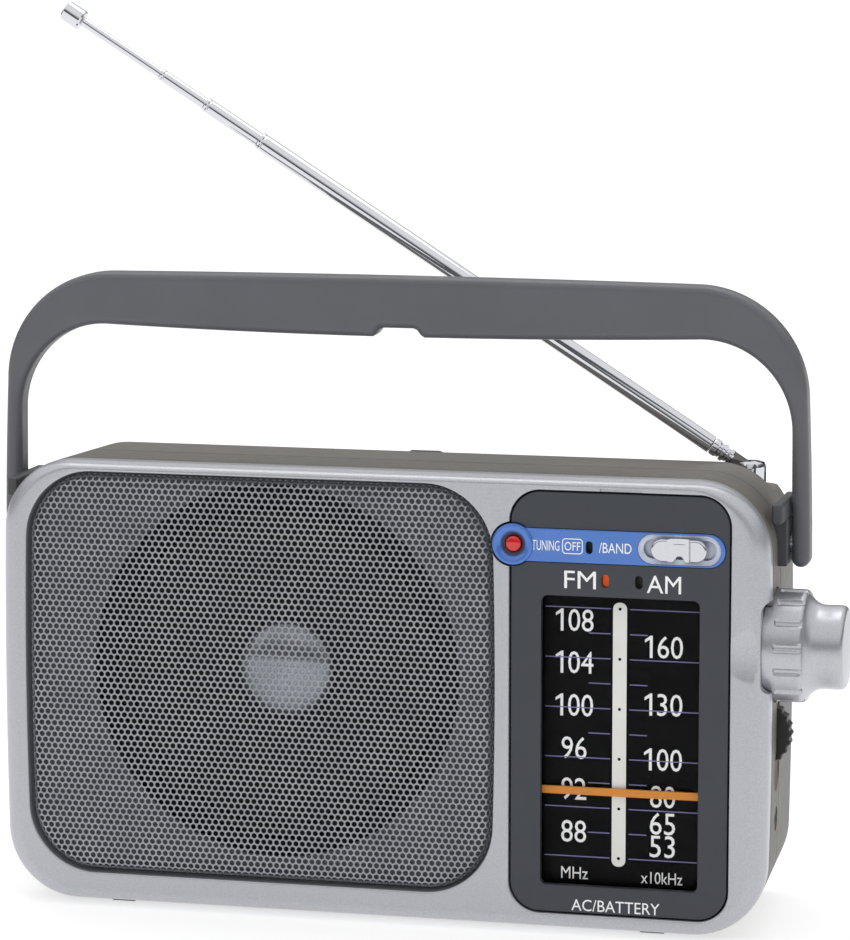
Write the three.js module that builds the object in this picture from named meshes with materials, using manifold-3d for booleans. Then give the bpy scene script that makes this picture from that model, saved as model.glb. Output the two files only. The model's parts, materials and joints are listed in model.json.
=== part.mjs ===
// Portable mains/battery table radio with a bail handle and a telescopic antenna.
// Millimetres, +Z up. The front of the cabinet faces -Y and +X is the listener's right.
import * as THREE from 'three';
import { mergeVertices } from 'three/addons/utils/BufferGeometryUtils.js';
import Module from 'manifold-3d';

const wasm = await Module();
wasm.setup();

// ---- Driving dimensions -------------------------------------------------------------------------
const GAP = 0.3; // clearance between neighbouring pieces
const WALL = 2.2; // moulded wall of the cabinet

// Cabinet: X is measured from its middle, Y from its front face, Z from the table.
const CASE_X = 104.4; // half width
const CASE_LOW = 1.4;
const CASE_TOP = 121.5;
const CASE_CORNER = 19;
const CASE_BOW = 0.9; // how far the left and right sides swell
const CASE_DEPTH = 64;
const BEZEL_DEPTH = 7;
const BEZEL_PLATE = 2.4;
const BEZEL_EDGE = 2.4; // rounding of the bezel's front edge
const SEAM_Y = 27; // joint between the front and rear cabinets
const REAR_EDGE = 5; // rounding of the rear edge
const TOP_FALL = 1.5; // how far the top falls from the bezel to the back
const SIDE_FALL = 2.9; // how far each side draws in over the same depth

// Speaker bay
const GRILLE = { x0: -97.3, x1: 32, z0: 9.5, z1: 118.9, corner: 18, bow: 1.1 };
const GRILLE_DEPTH = 4.2;
const GRILLE_SHEET = 0.9;
const BAFFLE_Y = 5.2;
const BAFFLE_THICK = 1.8;
const SPEAKER_X = -29;
const SPEAKER_Z = 65;
const BAFFLE_HOLE = 50.5;
const SPEAKER_FLANGE = 51.5;
const CONE_RADIUS = 41;
const COIL_RADIUS = 12.6;
const DUST_CAP_RADIUS = 13;
const MAGNET_RADIUS = 27;

// Dial bay
const PANEL = { x0: 35.9, x1: 94.4, z0: 5.8, z1: 118.3, corner: 8.3, bow: 0 };
const PANEL_Y = 0.5;
const PANEL_THICK = 2;
const WINDOW = { x0: 44.4, x1: 86.2, z0: 13.5, z1: 90.6, corner: 1.7, bow: 0 };
const STRIP_Z = 103.8;
const STRIP_HALF = 4.4;
const STRIP_END_X = 92.9;
const LAMP_X = 36.8;
const LAMP_RING = 5.5;
const LAMP_RADIUS = 2.6;
const SWITCH_X = 80.8;
const SWITCH_SLOT_X = 10.8; // half length of the switch's slot
const SWITCH_SLOT_Z = 3.8;
const SLIDER_X = 7.5; // half length of the chrome slider
const SLIDER_Z = 3.1;
const FLAG_WINDOWS = [[61.3, 94.9], [70.2, 94.9], [57.1, STRIP_Z]]; // FM, AM and OFF
const FLAG_WINDOW_X = 0.8;
const FLAG_WINDOW_Z = 1.4;
const PLATE_Y = 4.6;
const POINTER_Y = 3.1;
const POINTER_Z = 38.4;
const POINTER_HALF = 1.05;

// Tuning drive: knob, cord drum and pulleys turn about lines along X
const KNOB_Y = 16.5;
const KNOB_Z = 77.2;
const KNOB_RADIUS = 14.8;
const KNOB_BOSS = 11;
const KNOB_IN_X = 98.5;
const KNOB_END_X = 123.2;
const KNOB_GROOVES = 14;
const SPINDLE_RADIUS = 3;
const CORD_X = 81.5; // plane of the dial cord
const DRUM_RADIUS = 21;
const DRUM_Y = 38;
const DRUM_Z = 45;
const PULLEY_RADIUS = 3;
const PULLEY_Y = 12;
const PULLEY_TOP_Z = 95;
const PULLEY_LOW_Z = 13;

// Volume wheel turns about a line along Y
const WHEEL_X = 98.2;
const WHEEL_Y = 22;
const WHEEL_Z = 52.6;
const WHEEL_RADIUS = 9.5;
const WHEEL_THICK = 5;
const WHEEL_TEETH = 24;

// Handle
const PIVOT_Y = 27;
const PIVOT_Z = 102.9;
const HANDLE_X = 111.1; // outside of the arms at the pivot
const HANDLE_IN_X = 106.3;
const HANDLE_TOP = 170;
const HANDLE_UNDER = 155.8;
const HANDLE_LOW = 96.5;
const HANDLE_THICK = 8;
const HANDLE_ROUND = 1.9;
const NOTCH_X = 0; // middle of the notch under the grip
const PIN_RADIUS = 2.5;

// Antenna
const LEDGE_Y = 48; // the antenna lies in a step along the top rear edge
const LEDGE_Z = 113;
const MAST_X = 90.9;
const MAST_Y = 53;
const MAST_Z = 117.2;
const MAST_TILT = THREE.MathUtils.degToRad(32.4);
const MAST_SECTIONS = [ // distance from the hinge pin, outside radius and bore radius
  { name: 'antenna_section_outer', from: 13, to: 162.5, radius: 2.45, bore: 2.15 },
  { name: 'antenna_section_third', from: 34, to: 180.7, radius: 2.0, bore: 1.75 },
  { name: 'antenna_section_second', from: 55, to: 195.8, radius: 1.6, bore: 1.4 },
  { name: 'antenna_section_inner', from: 84, to: 222.2, radius: 1.25, bore: 0 },
];
const TIP_RADIUS = 2.85;
const TIP_END = 228.2;
const TURRET_RADIUS = 4;
const FORK_GAP = 3.2;

// Battery compartment in the back
const CELL_BAY = { x0: -90.3, x1: 16.3, y0: 45.2, z0: 9.3, z1: 38.7 };
const CELL_RADIUS = 7;
const CELL_BODY = 49.2;
const CELL_NUB = 1.2;
const CELL_Y = 53.6;
const CELL_ROWS = [16.8, 31.2];
const CELL_STARTS = [-87.6, -36.8];

// Feet, screws and sockets
const FOOT_X = 73;
const FOOT_HALF = 3.5;
const FOOT_LONG = 8;
const FOOT_ROWS = { front: 7.8, rear: 48 };
const SCREW_X = 90;
const SCREW_TOP_Z = 100;
const SCREW_MID_Z = 46;
const SCREW_HEAD = 2.8;
const JACK_Y = 22;
const JACK_Z = 29.5;
const INLET = { x: -84, z: 55, halfX: 8, halfZ: 4.2 };

// The origin is under the middle of the whole radio.
const ORIGIN_X = 6.05;
const ORIGIN_Y = 31.5;

// ---- Solids -------------------------------------------------------------------------------------
function solidOf(geometry) {
  const bare = geometry.clone();
  bare.deleteAttribute('normal');
  bare.deleteAttribute('uv');
  const merged = mergeVertices(bare, 1e-4);
  const vertProperties = new Float32Array(merged.attributes.position.array);
  const triVerts = new Uint32Array(merged.index.array);
  return new wasm.Manifold(new wasm.Mesh({ numProp: 3, vertProperties, triVerts }));
}

function geometryOf(solid) {
  const { vertProperties, triVerts } = solid.getMesh();
  const geometry = new THREE.BufferGeometry();
  geometry.setAttribute('position', new THREE.BufferAttribute(vertProperties, 3));
  geometry.setIndex(new THREE.BufferAttribute(triVerts, 1));
  geometry.computeVertexNormals();
  return geometry;
}

function block(x0, x1, y0, y1, z0, z1) {
  const box = new THREE.BoxGeometry(x1 - x0, y1 - y0, z1 - z0);
  return solidOf(box.translate((x0 + x1) / 2, (y0 + y1) / 2, (z0 + z1) / 2));
}

// A round bar along X, Y or Z from one end to the other, its middle at (u, v) in the other two axes.
function bar(axis, radius, from, to, u, v, sides = 24) {
  const geometry = new THREE.CylinderGeometry(radius, radius, to - from, sides);
  const middle = (from + to) / 2;
  if (axis === 'x') return solidOf(geometry.rotateZ(Math.PI / 2).translate(middle, u, v));
  if (axis === 'z') return solidOf(geometry.rotateX(Math.PI / 2).translate(u, v, middle));
  return solidOf(geometry.translate(u, middle, v));
}

// Revolves [radius, height] points about Y; with along = 'x' the heights run along +X.
function turned(profile, sides = 24, along = 'y', place = [0, 0, 0]) {
  const points = profile.map(([radius, height]) => new THREE.Vector2(radius, height));
  const geometry = new THREE.LatheGeometry(points, sides);
  if (along === 'x') geometry.rotateZ(-Math.PI / 2);
  return solidOf(geometry.translate(...place));
}

// A tube or ring as a closed profile.
function ring(inner, outer, from, to) {
  return [[inner, from], [outer, from], [outer, to], [inner, to], [inner, from]];
}

// The same outline as straight edges, without the tiny ones where its curves meet.
function outlineOf(shape, curveSegments) {
  const points = shape.getPoints(curveSegments);
  return new THREE.Shape(points.filter((point, i) => (
    point.distanceTo(points[(i + 1) % points.length]) > 0.02
  )));
}

// A flat outline in the X-Z plane, thickened from y0 to y1.
function slabGeometry(shape, y0, y1, round, curveSegments) {
  const geometry = new THREE.ExtrudeGeometry(outlineOf(shape, curveSegments), {
    depth: y1 - y0 - 2 * round,
    bevelEnabled: round > 0,
    bevelThickness: round,
    bevelSize: round,
    bevelOffset: -round,
    bevelSegments: 2,
  });
  return geometry.rotateX(Math.PI / 2).translate(0, y1 - round, 0);
}

function slab(shape, y0, y1, round = 0, curveSegments = 3) {
  return solidOf(slabGeometry(shape, y0, y1, round, curveSegments));
}

// A rectangle with round corners whose left and right sides swell by bow; grow moves its edge out.
function panelShape({ x0, x1, z0, z1, corner, bow }, grow = 0) {
  const left = x0 - grow + bow;
  const right = x1 + grow - bow;
  const low = z0 - grow;
  const high = z1 + grow;
  const r = corner + grow;
  const mid = (low + high) / 2;
  const shape = new THREE.Shape();
  shape.moveTo(left + r, low);
  shape.lineTo(right - r, low);
  shape.absarc(right - r, low + r, r, -Math.PI / 2, 0);
  if (bow > 0) shape.quadraticCurveTo(right + 2 * bow, mid, right, high - r);
  shape.absarc(right - r, high - r, r, 0, Math.PI / 2);
  shape.absarc(left + r, high - r, r, Math.PI / 2, Math.PI);
  if (bow > 0) shape.quadraticCurveTo(left - 2 * bow, mid, left, low + r);
  shape.absarc(left + r, low + r, r, Math.PI, 1.5 * Math.PI);
  return shape;
}

function capsuleShape(x0, x1, z, half) {
  const shape = new THREE.Shape();
  shape.absarc(x1 - half, z, half, -Math.PI / 2, Math.PI / 2);
  shape.absarc(x0 + half, z, half, Math.PI / 2, 1.5 * Math.PI);
  return shape;
}

const CASE_OUTLINE = {
  x0: -CASE_X, x1: CASE_X, z0: CASE_LOW, z1: CASE_TOP, corner: CASE_CORNER, bow: CASE_BOW,
};

// The grey cabinet's body: behind the bezel its top falls and its sides draw in towards the back.
function caseBody(grow) {
  const shape = panelShape(CASE_OUTLINE, grow);
  const round = REAR_EDGE + grow;
  const geometry = slabGeometry(shape, BEZEL_DEPTH - round, CASE_DEPTH + grow, round, 4);
  const position = geometry.attributes.position;
  for (let i = 0; i < position.count; i += 1) {
    const share = Math.max(0, position.getY(i) - BEZEL_DEPTH) / (CASE_DEPTH - BEZEL_DEPTH);
    const rise = (position.getZ(i) - CASE_LOW) / (CASE_TOP - CASE_LOW);
    position.setX(i, position.getX(i) * (1 - share * SIDE_FALL / CASE_X));
    position.setZ(i, position.getZ(i) - TOP_FALL * share * rise);
  }
  return solidOf(geometry);
}

function between(solid, y0, y1) {
  return solid.intersect(block(-200, 200, y0, y1, -50, 200));
}

// ---- Cabinet ------------------------------------------------------------------------------------
function knobClearance() {
  return bar('x', KNOB_RADIUS + 0.9, KNOB_IN_X - 2.5, 120, KNOB_Y, KNOB_Z, 32);
}

function frontNotch() {
  const outline = { x0: 102.1, x1: 125, z0: 66.4, z1: 90.9, corner: 3, bow: 0 };
  return slab(panelShape(outline), -1, KNOB_Y);
}

function wheelClearance() {
  return bar('y', WHEEL_RADIUS + 0.9, WHEEL_Y - WHEEL_THICK / 2 - 0.6, WHEEL_Y + WHEEL_THICK / 2 + 0.6,
    WHEEL_X, WHEEL_Z, 28);
}

function frontBezel() {
  const outer = between(slab(panelShape(CASE_OUTLINE), 0, 40, BEZEL_EDGE, 4), 0, BEZEL_DEPTH);
  const inner = slab(panelShape(CASE_OUTLINE, -2), BEZEL_PLATE, 40, 0, 4);
  const lampHole = bar('y', LAMP_RING + 0.4, -1, 10, LAMP_X, STRIP_Z);
  return outer.subtract(inner)
    .subtract(slab(panelShape(GRILLE), -1, 10, 0, 4))
    .subtract(slab(panelShape(PANEL), -1, 10))
    .subtract(lampHole)
    .subtract(frontNotch())
    .subtract(knobClearance())
    .subtract(block(59.8, 71, -1, 0.9, CASE_TOP - 3.6, CASE_TOP - 2.1));
}

function handlePinHoles() {
  return bar('x', PIN_RADIUS + GAP, -120, 120, PIVOT_Y, PIVOT_Z);
}

function frontCabinet() {
  const shell = between(caseBody(0).subtract(caseBody(-WALL)), BEZEL_DEPTH + GAP, SEAM_Y - GAP / 2);
  return shell.subtract(knobClearance())
    .subtract(wheelClearance())
    .subtract(bar('x', 3.4, 90, 110, JACK_Y, JACK_Z))
    .subtract(handlePinHoles());
}

function ledge(wall) {
  return block(-150, 150, LEDGE_Y - wall, 80, LEDGE_Z - wall, 150);
}

function cellBay(grow) {
  const { x0, x1, y0, z0, z1 } = CELL_BAY;
  return block(x0 - grow, x1 + grow, y0 - grow, CASE_DEPTH - grow, z0 - grow, z1 + grow);
}

function screwPlaces() {
  return [[-SCREW_X, SCREW_TOP_Z], [SCREW_X, SCREW_TOP_Z], [-SCREW_X, SCREW_MID_Z], [SCREW_X, 14]];
}

function rearCabinet() {
  const outer = caseBody(0).subtract(ledge(0));
  const inner = caseBody(-WALL).subtract(ledge(WALL));
  let shell = between(outer.subtract(inner), SEAM_Y + GAP / 2, CASE_DEPTH + 1);
  shell = shell.add(cellBay(1.5)).subtract(cellBay(0).add(block(
    CELL_BAY.x0, CELL_BAY.x1, CASE_DEPTH - 5, CASE_DEPTH + 5, CELL_BAY.z0, CELL_BAY.z1,
  )));
  const { x, z, halfX, halfZ } = INLET;
  shell = shell.subtract(slab(capsuleShape(x - halfX - GAP, x + halfX + GAP, z, halfZ + GAP), 55, 70));
  for (const [screwX, screwZ] of screwPlaces()) {
    shell = shell.subtract(bar('y', SCREW_HEAD + GAP, 55, 70, screwX, screwZ, 16));
  }
  return shell.subtract(knobClearance())
    .subtract(bar('z', TURRET_RADIUS + GAP, 100, 120, MAST_X, MAST_Y))
    .subtract(handlePinHoles());
}

function batteryCover() {
  const { x0, x1, z0, z1 } = CELL_BAY;
  const plate = block(x0 + GAP, x1 - GAP, CASE_DEPTH - 2.2, CASE_DEPTH, z0 + GAP, z1 - GAP);
  const thumb = bar('y', 5, CASE_DEPTH - 0.8, CASE_DEPTH + 1, (x0 + x1) / 2, z1 - 7, 24);
  return plate.subtract(thumb);
}

function foot(x, y0) {
  return block(x - FOOT_HALF, x + FOOT_HALF, y0, y0 + FOOT_LONG, 0, CASE_LOW - GAP / 2);
}

function screw(x, z) {
  const head = bar('y', SCREW_HEAD, CASE_DEPTH - 1.9, CASE_DEPTH - 0.4, x, z, 16);
  const shank = bar('y', 1.4, CASE_DEPTH - 14, CASE_DEPTH - 1.5, x, z, 12);
  const cross = block(x - 1.7, x + 1.7, CASE_DEPTH - 1.1, CASE_DEPTH, z - 0.4, z + 0.4)
    .add(block(x - 0.4, x + 0.4, CASE_DEPTH - 1.1, CASE_DEPTH, z - 1.7, z + 1.7));
  return head.add(shank).subtract(cross);
}

// ---- Speaker ------------------------------------------------------------------------------------
function grille() {
  const outer = slab(panelShape(GRILLE, -0.4), -0.2, 12, 2.2, 4);
  const inner = slab(panelShape(GRILLE, -0.4 - GRILLE_SHEET), -0.2 + GRILLE_SHEET, 12, 1.6, 4);
  return between(outer.subtract(inner), -1, GRILLE_DEPTH);
}

function baffle() {
  const board = panelShape({ x0: -100.9, x1: 33.5, z0: 5.3, z1: 118.9, corner: 19.2, bow: 0 });
  const back = BAFFLE_Y + BAFFLE_THICK;
  const hole = bar('y', BAFFLE_HOLE, BAFFLE_Y - 1, back + 1, SPEAKER_X, SPEAKER_Z + 1, 40);
  return slab(board, BAFFLE_Y, back).subtract(hole);
}

const SPEAKER_FRONT = BAFFLE_Y + BAFFLE_THICK + GAP;

function speakerFrame() {
  return turned([
    [CONE_RADIUS + 4, 0], [SPEAKER_FLANGE, 0], [SPEAKER_FLANGE, 1.2], [CONE_RADIUS + 5.2, 1.2],
    [MAGNET_RADIUS + 1, 15], [MAGNET_RADIUS + 1, 19], [COIL_RADIUS + 4, 19], [COIL_RADIUS + 4, 18],
    [MAGNET_RADIUS - 0.5, 18], [MAGNET_RADIUS - 0.5, 14.6], [CONE_RADIUS + 4, 0.6], [CONE_RADIUS + 4, 0],
  ]);
}

function speakerMagnet() {
  return turned([
    [0, 13.5], [COIL_RADIUS - 1, 13.5], [COIL_RADIUS - 1, 29], [COIL_RADIUS + 1.6, 29],
    [COIL_RADIUS + 1.6, 19.3], [MAGNET_RADIUS, 19.3], [MAGNET_RADIUS, 33], [0, 33],
  ]);
}

function speakerSurround() {
  const points = ring(CONE_RADIUS + 0.4, CONE_RADIUS + 3.4, 0, 0.7);
  points.splice(1, 0, [CONE_RADIUS + 1, -0.8], [CONE_RADIUS + 2, -1.1], [CONE_RADIUS + 3, -0.8]);
  return turned(points);
}

// The paper cone, with its dust cap and the former of its voice coil.
function speakerCone() {
  const cone = turned([
    [DUST_CAP_RADIUS, 9.4], [CONE_RADIUS - 1.2, 0.4], [CONE_RADIUS, 0.4], [CONE_RADIUS, 1.2],
    [CONE_RADIUS - 1, 1.3], [DUST_CAP_RADIUS + 0.6, 10.6], [0, 10.6], [0, 4.6], [5, 5.2], [9.5, 7],
    [DUST_CAP_RADIUS, 9.4],
  ]);
  return cone.add(turned(ring(COIL_RADIUS - 0.5, COIL_RADIUS + 0.5, 10.2, 24)));
}

// ---- Dial ---------------------------------------------------------------------------------------
function controlStripShape(grow) {
  return capsuleShape(LAMP_X - STRIP_HALF - grow, STRIP_END_X + grow, STRIP_Z, STRIP_HALF + grow);
}

function switchSlot(half) {
  const slot = capsuleShape(SWITCH_X - SWITCH_SLOT_X, SWITCH_X + SWITCH_SLOT_X, STRIP_Z, half);
  return slab(slot, -1, 5);
}

function dialPanel() {
  let panel = slab(panelShape(PANEL, -0.45), PANEL_Y, PANEL_Y + PANEL_THICK)
    .subtract(slab(panelShape(WINDOW), -1, 5))
    .subtract(slab(controlStripShape(GAP), -1, PANEL_Y + 1.1))
    .subtract(bar('y', LAMP_RING + GAP, -1, 5, LAMP_X, STRIP_Z))
    .subtract(switchSlot(SWITCH_SLOT_Z - 1));
  for (const [x, z] of FLAG_WINDOWS) {
    panel = panel.subtract(block(x - FLAG_WINDOW_X, x + FLAG_WINDOW_X, -1, 5,
      z - FLAG_WINDOW_Z, z + FLAG_WINDOW_Z));
  }
  return panel;
}

function controlStrip() {
  const [offX, offZ] = FLAG_WINDOWS[2];
  const back = PANEL_Y + 0.8;
  return slab(controlStripShape(0), 0.2, back)
    .add(bar('y', LAMP_RING, -0.5, back, LAMP_X, STRIP_Z))
    .subtract(bar('y', LAMP_RADIUS + GAP, -1, 5, LAMP_X, STRIP_Z, 16))
    .subtract(switchSlot(SWITCH_SLOT_Z))
    .subtract(block(offX - FLAG_WINDOW_X, offX + FLAG_WINDOW_X, -1, 5,
      offZ - FLAG_WINDOW_Z, offZ + FLAG_WINDOW_Z));
}

function tuningLamp() {
  return bar('y', LAMP_RADIUS, -0.1, 6, LAMP_X, STRIP_Z, 16)
    .add(bar('y', LAMP_RADIUS + 0.6, 4, 9, LAMP_X, STRIP_Z, 16));
}

function dialWindow() {
  return slab(panelShape(WINDOW, -GAP), PANEL_Y + 0.2, PANEL_Y + 1.4);
}

// The plate behind the window, with a lug and axle for each pulley of the dial cord.
function dialPlate() {
  let plate = block(WINDOW.x0 - 2, WINDOW.x1 + 1.8, PLATE_Y, PLATE_Y + 1, WINDOW.z0 - 3, WINDOW.z1 + 1);
  for (const z of [PULLEY_TOP_Z, PULLEY_LOW_Z]) {
    const lugZ = Math.min(z, WINDOW.z1);
    plate = plate.add(block(CORD_X + 2.5, CORD_X + 3.7, PLATE_Y, PULLEY_Y + 2, lugZ - 1, z + 2))
      .add(bar('x', 0.7, CORD_X - 2, CORD_X + 3, PULLEY_Y, z, 12));
  }
  return plate;
}

// The needle hooks round the edge of the dial plate to the cord behind it.
function dialPointer() {
  const low = POINTER_Z - POINTER_HALF;
  const high = POINTER_Z + POINTER_HALF;
  const hookX = WINDOW.x1 + 2.4;
  const cordFront = PULLEY_Y - PULLEY_RADIUS;
  return block(WINDOW.x0 - 0.8, hookX + 1.6, POINTER_Y, POINTER_Y + 0.7, low, high)
    .add(block(hookX, hookX + 1.6, POINTER_Y, cordFront - 0.6, low, high))
    .add(block(CORD_X - 2, hookX + 1.6, cordFront - 1.9, cordFront - 0.6, low, high));
}

function bandSlider() {
  const outline = capsuleShape(SWITCH_X - SLIDER_X, SWITCH_X + SLIDER_X, STRIP_Z, SLIDER_Z);
  const body = slab(outline, -1, 1.2, 0.7);
  const waist = bar('y', 1.2, -2, -0.3, SWITCH_X, STRIP_Z, 16);
  const stem = block(SWITCH_X - 3, SWITCH_X + 3, 1, 8, STRIP_Z - 1.5, STRIP_Z + 1.5);
  return body.subtract(waist).add(stem);
}

function bandFlag() {
  const hole = block(SWITCH_X - 3.3, SWITCH_X + 3.3, 2, 5, STRIP_Z - 1.8, STRIP_Z + 1.8);
  return block(53.4, SWITCH_X + 6, PANEL_Y + 2.5, PANEL_Y + 3.3, 92.6, STRIP_Z + 3.2).subtract(hole);
}

function bandSwitch() {
  const slot = block(SWITCH_X - 7, SWITCH_X + 7, 7, 11, STRIP_Z - 2, STRIP_Z + 2);
  return block(SWITCH_X - 10, SWITCH_X + 10, 7.6, 14, STRIP_Z - 4, STRIP_Z + 4).subtract(slot);
}

// ---- Tuning and volume drives ---------------------------------------------------------------------
// Built round the axis with x = 0 at the plane of the cabinet's side.
function tuningKnob() {
  const inside = KNOB_IN_X - CASE_X;
  const end = KNOB_END_X - CASE_X;
  const body = turned([
    [0, inside], [KNOB_RADIUS - 0.6, inside], [KNOB_RADIUS, inside + 0.6], [KNOB_RADIUS, 7],
    [KNOB_RADIUS - 0.5, 7.7], [KNOB_BOSS + 1, 9.8], [KNOB_BOSS, 11.4], [KNOB_BOSS - 0.1, 13.4],
    [KNOB_BOSS + 0.1, end - 3], [KNOB_BOSS - 0.9, end - 1.4], [KNOB_BOSS - 4, end - 0.4], [0, end],
  ], 2 * KNOB_GROOVES, 'x');
  let knob = body.subtract(bar('x', SPINDLE_RADIUS + 0.05, inside - 1, inside + 12, 0, 0));
  for (let i = 0; i < KNOB_GROOVES; i += 1) {
    const groove = new THREE.BoxGeometry(6.3, 1.6, 1.8);
    groove.translate(3.75, 0, KNOB_RADIUS + 0.1).rotateX((i + 0.5) * (2 * Math.PI / KNOB_GROOVES));
    knob = knob.subtract(solidOf(groove));
  }
  return knob;
}

function tuningShaft() {
  return bar('x', SPINDLE_RADIUS, CORD_X - CASE_X - 2, KNOB_IN_X - CASE_X + 11.5, 0, 0);
}

function grooved(radius, half, hub) {
  return turned([
    [hub, -half], [radius + 0.8, -half], [radius, -half / 2], [radius, half / 2],
    [radius + 0.8, half], [hub, half], [hub, -half],
  ], radius > 10 ? 32 : 16, 'x');
}

function volumeWheel() {
  const hub = WHEEL_THICK / 2;
  let wheel = bar('y', WHEEL_RADIUS, -hub, hub, 0, 0, WHEEL_TEETH);
  for (let i = 0; i < WHEEL_TEETH; i += 1) {
    const angle = (i / WHEEL_TEETH) * 2 * Math.PI;
    const notchX = WHEEL_RADIUS * Math.cos(angle);
    const notchZ = WHEEL_RADIUS * Math.sin(angle);
    wheel = wheel.subtract(bar('y', 0.65, -hub - 1, hub + 1, notchX, notchZ, 6));
  }
  return wheel.add(bar('y', 1.8, hub - 0.5, hub + 7, 0, 0, 16));
}

// ---- Electrics ----------------------------------------------------------------------------------
const BOARD = { x0: 22, x1: 77, y0: 49, y1: 50.6, z0: 43, z1: 97 };

function circuitBoard() {
  let board = block(BOARD.x0, BOARD.x1, BOARD.y0, BOARD.y1, BOARD.z0, BOARD.z1)
    .add(block(30, 46, BOARD.y0 - 3, BOARD.y0 + 0.2, 60, 67));
  for (const [x, z, r, h] of [[28, 88, 5, 13], [40, 88, 4, 11], [52, 90, 3, 9], [26, 74, 3, 8]]) {
    board = board.add(bar('y', r, BOARD.y0 - h, BOARD.y0 + 0.2, x, z, 16));
  }
  for (const x of [56, 65, 74]) {
    board = board.add(block(x - 3.5, x + 3.5, BOARD.y0 - 9, BOARD.y0 + 0.2, 72, 79));
  }
  return board;
}

function tuningCapacitor() {
  const rest = CORD_X - 2.6;
  return block(60, rest, DRUM_Y - 9, BOARD.y0 - GAP, DRUM_Z - 1, DRUM_Z + 17)
    .add(bar('x', 2.4, rest - 6, CORD_X + 3, DRUM_Y, DRUM_Z, 16));
}

function transformer() {
  return block(-97, -66, 40, 56, 66, 94)
    .add(block(-91, -72, 33, 60, 72, 88));
}

function ferriteRod() {
  return bar('x', 4.5, -56, 46, 54, 103.5, 20);
}

function ferriteCoil() {
  return turned(ring(4.9, 6.2, -12, 12), 20, 'x', [-28, 54, 103.5]);
}

function volumePot() {
  return block(91, 99.8, 26.2, 33, WHEEL_Z - 7, WHEEL_Z + 7)
    .subtract(bar('y', 2.1, 20, 34.5, WHEEL_X, WHEEL_Z, 16));
}

function earphoneJack() {
  return block(90, CASE_X - WALL - 2.4, 17.5, 26.5, JACK_Z - 5, JACK_Z + 5)
    .add(bar('x', 3.05, 95, CASE_X - 1.4, JACK_Y, JACK_Z))
    .subtract(bar('x', 1.8, 92, CASE_X + 2, JACK_Y, JACK_Z));
}

function mainsInlet() {
  const { x, z, halfX, halfZ } = INLET;
  let socket = slab(capsuleShape(x - halfX, x + halfX, z, halfZ), 50, CASE_DEPTH - 0.3)
    .subtract(slab(capsuleShape(x - halfX + 1, x + halfX - 1, z, halfZ - 1), 53, CASE_DEPTH + 1));
  for (const pin of [x - 3.8, x + 3.8]) {
    socket = socket.add(bar('y', 1.1, 52, CASE_DEPTH - 2.5, pin, z, 12));
  }
  return socket;
}

function batteryCell(x) {
  const nub = CELL_BODY + CELL_NUB;
  return turned([
    [0, 0], [CELL_RADIUS, 0], [CELL_RADIUS, CELL_BODY], [2.7, CELL_BODY], [2.7, nub], [0, nub],
  ], 20, 'x', [x, 0, 0]);
}

function springContact() {
  const x = CELL_BAY.x0 + GAP;
  let contact = block(x, x + 0.6, CELL_Y - 6, CELL_Y + 6, CELL_ROWS[0] - 6, CELL_ROWS[1] + 6);
  for (const z of CELL_ROWS) {
    const coil = [[0, 0], [4.5, 0], [3, 1.6], [0, 1.6]];
    contact = contact.add(turned(coil, 16, 'x', [x + 0.4, CELL_Y, z]));
  }
  return contact;
}

function flatContact() {
  const x = CELL_BAY.x1 - GAP;
  let contact = block(x - 0.6, x, CELL_Y - 6, CELL_Y + 6, CELL_ROWS[0] - 6, CELL_ROWS[1] + 6);
  for (const z of CELL_ROWS) {
    contact = contact.add(bar('x', 3, x - 1.8, x - 0.3, CELL_Y, z, 16));
  }
  return contact;
}

// ---- Handle -------------------------------------------------------------------------------------
function handleShape() {
  const lean = 1.1; // the arms draw in by this much at the shoulders
  const outer = 30;
  const inner = 24;
  const shoulder = HANDLE_X - lean;
  const inside = HANDLE_IN_X - 0.3;
  const shape = new THREE.Shape();
  const half = (HANDLE_X - HANDLE_IN_X) / 2;
  shape.moveTo(-HANDLE_X, HANDLE_LOW + half);
  shape.lineTo(-shoulder, HANDLE_TOP - outer);
  shape.absarc(-shoulder + outer, HANDLE_TOP - outer, outer, Math.PI, Math.PI / 2, true);
  shape.quadraticCurveTo(0, HANDLE_TOP + 1, shoulder - outer, HANDLE_TOP);
  shape.absarc(shoulder - outer, HANDLE_TOP - outer, outer, Math.PI / 2, 0, true);
  shape.lineTo(HANDLE_X, HANDLE_LOW + half);
  shape.absarc(HANDLE_X - half, HANDLE_LOW + half, half, 0, -Math.PI, true);
  shape.lineTo(inside, HANDLE_UNDER - inner);
  shape.absarc(inside - inner, HANDLE_UNDER - inner, inner, 0, Math.PI / 2);
  shape.quadraticCurveTo(40, HANDLE_UNDER - 1.3, NOTCH_X + 7, HANDLE_UNDER - 1.5);
  shape.quadraticCurveTo(NOTCH_X + 4.6, HANDLE_UNDER + 0.9, NOTCH_X, HANDLE_UNDER + 0.9);
  shape.quadraticCurveTo(NOTCH_X - 4.6, HANDLE_UNDER + 0.9, NOTCH_X - 7, HANDLE_UNDER - 1.5);
  shape.quadraticCurveTo(-40, HANDLE_UNDER - 1.3, -inside + inner, HANDLE_UNDER);
  shape.absarc(-inside + inner, HANDLE_UNDER - inner, inner, Math.PI / 2, Math.PI);
  shape.lineTo(-HANDLE_IN_X, HANDLE_LOW + half);
  shape.absarc(-HANDLE_X + half, HANDLE_LOW + half, half, 0, -Math.PI, true);
  return shape;
}

function handle() {
  const half = HANDLE_THICK / 2;
  const pinEnd = HANDLE_IN_X + 3.6;
  return slab(handleShape(), PIVOT_Y - half, PIVOT_Y + half, HANDLE_ROUND, 4)
    .subtract(bar('x', PIN_RADIUS + GAP, -pinEnd, pinEnd, PIVOT_Y, PIVOT_Z));
}

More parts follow.
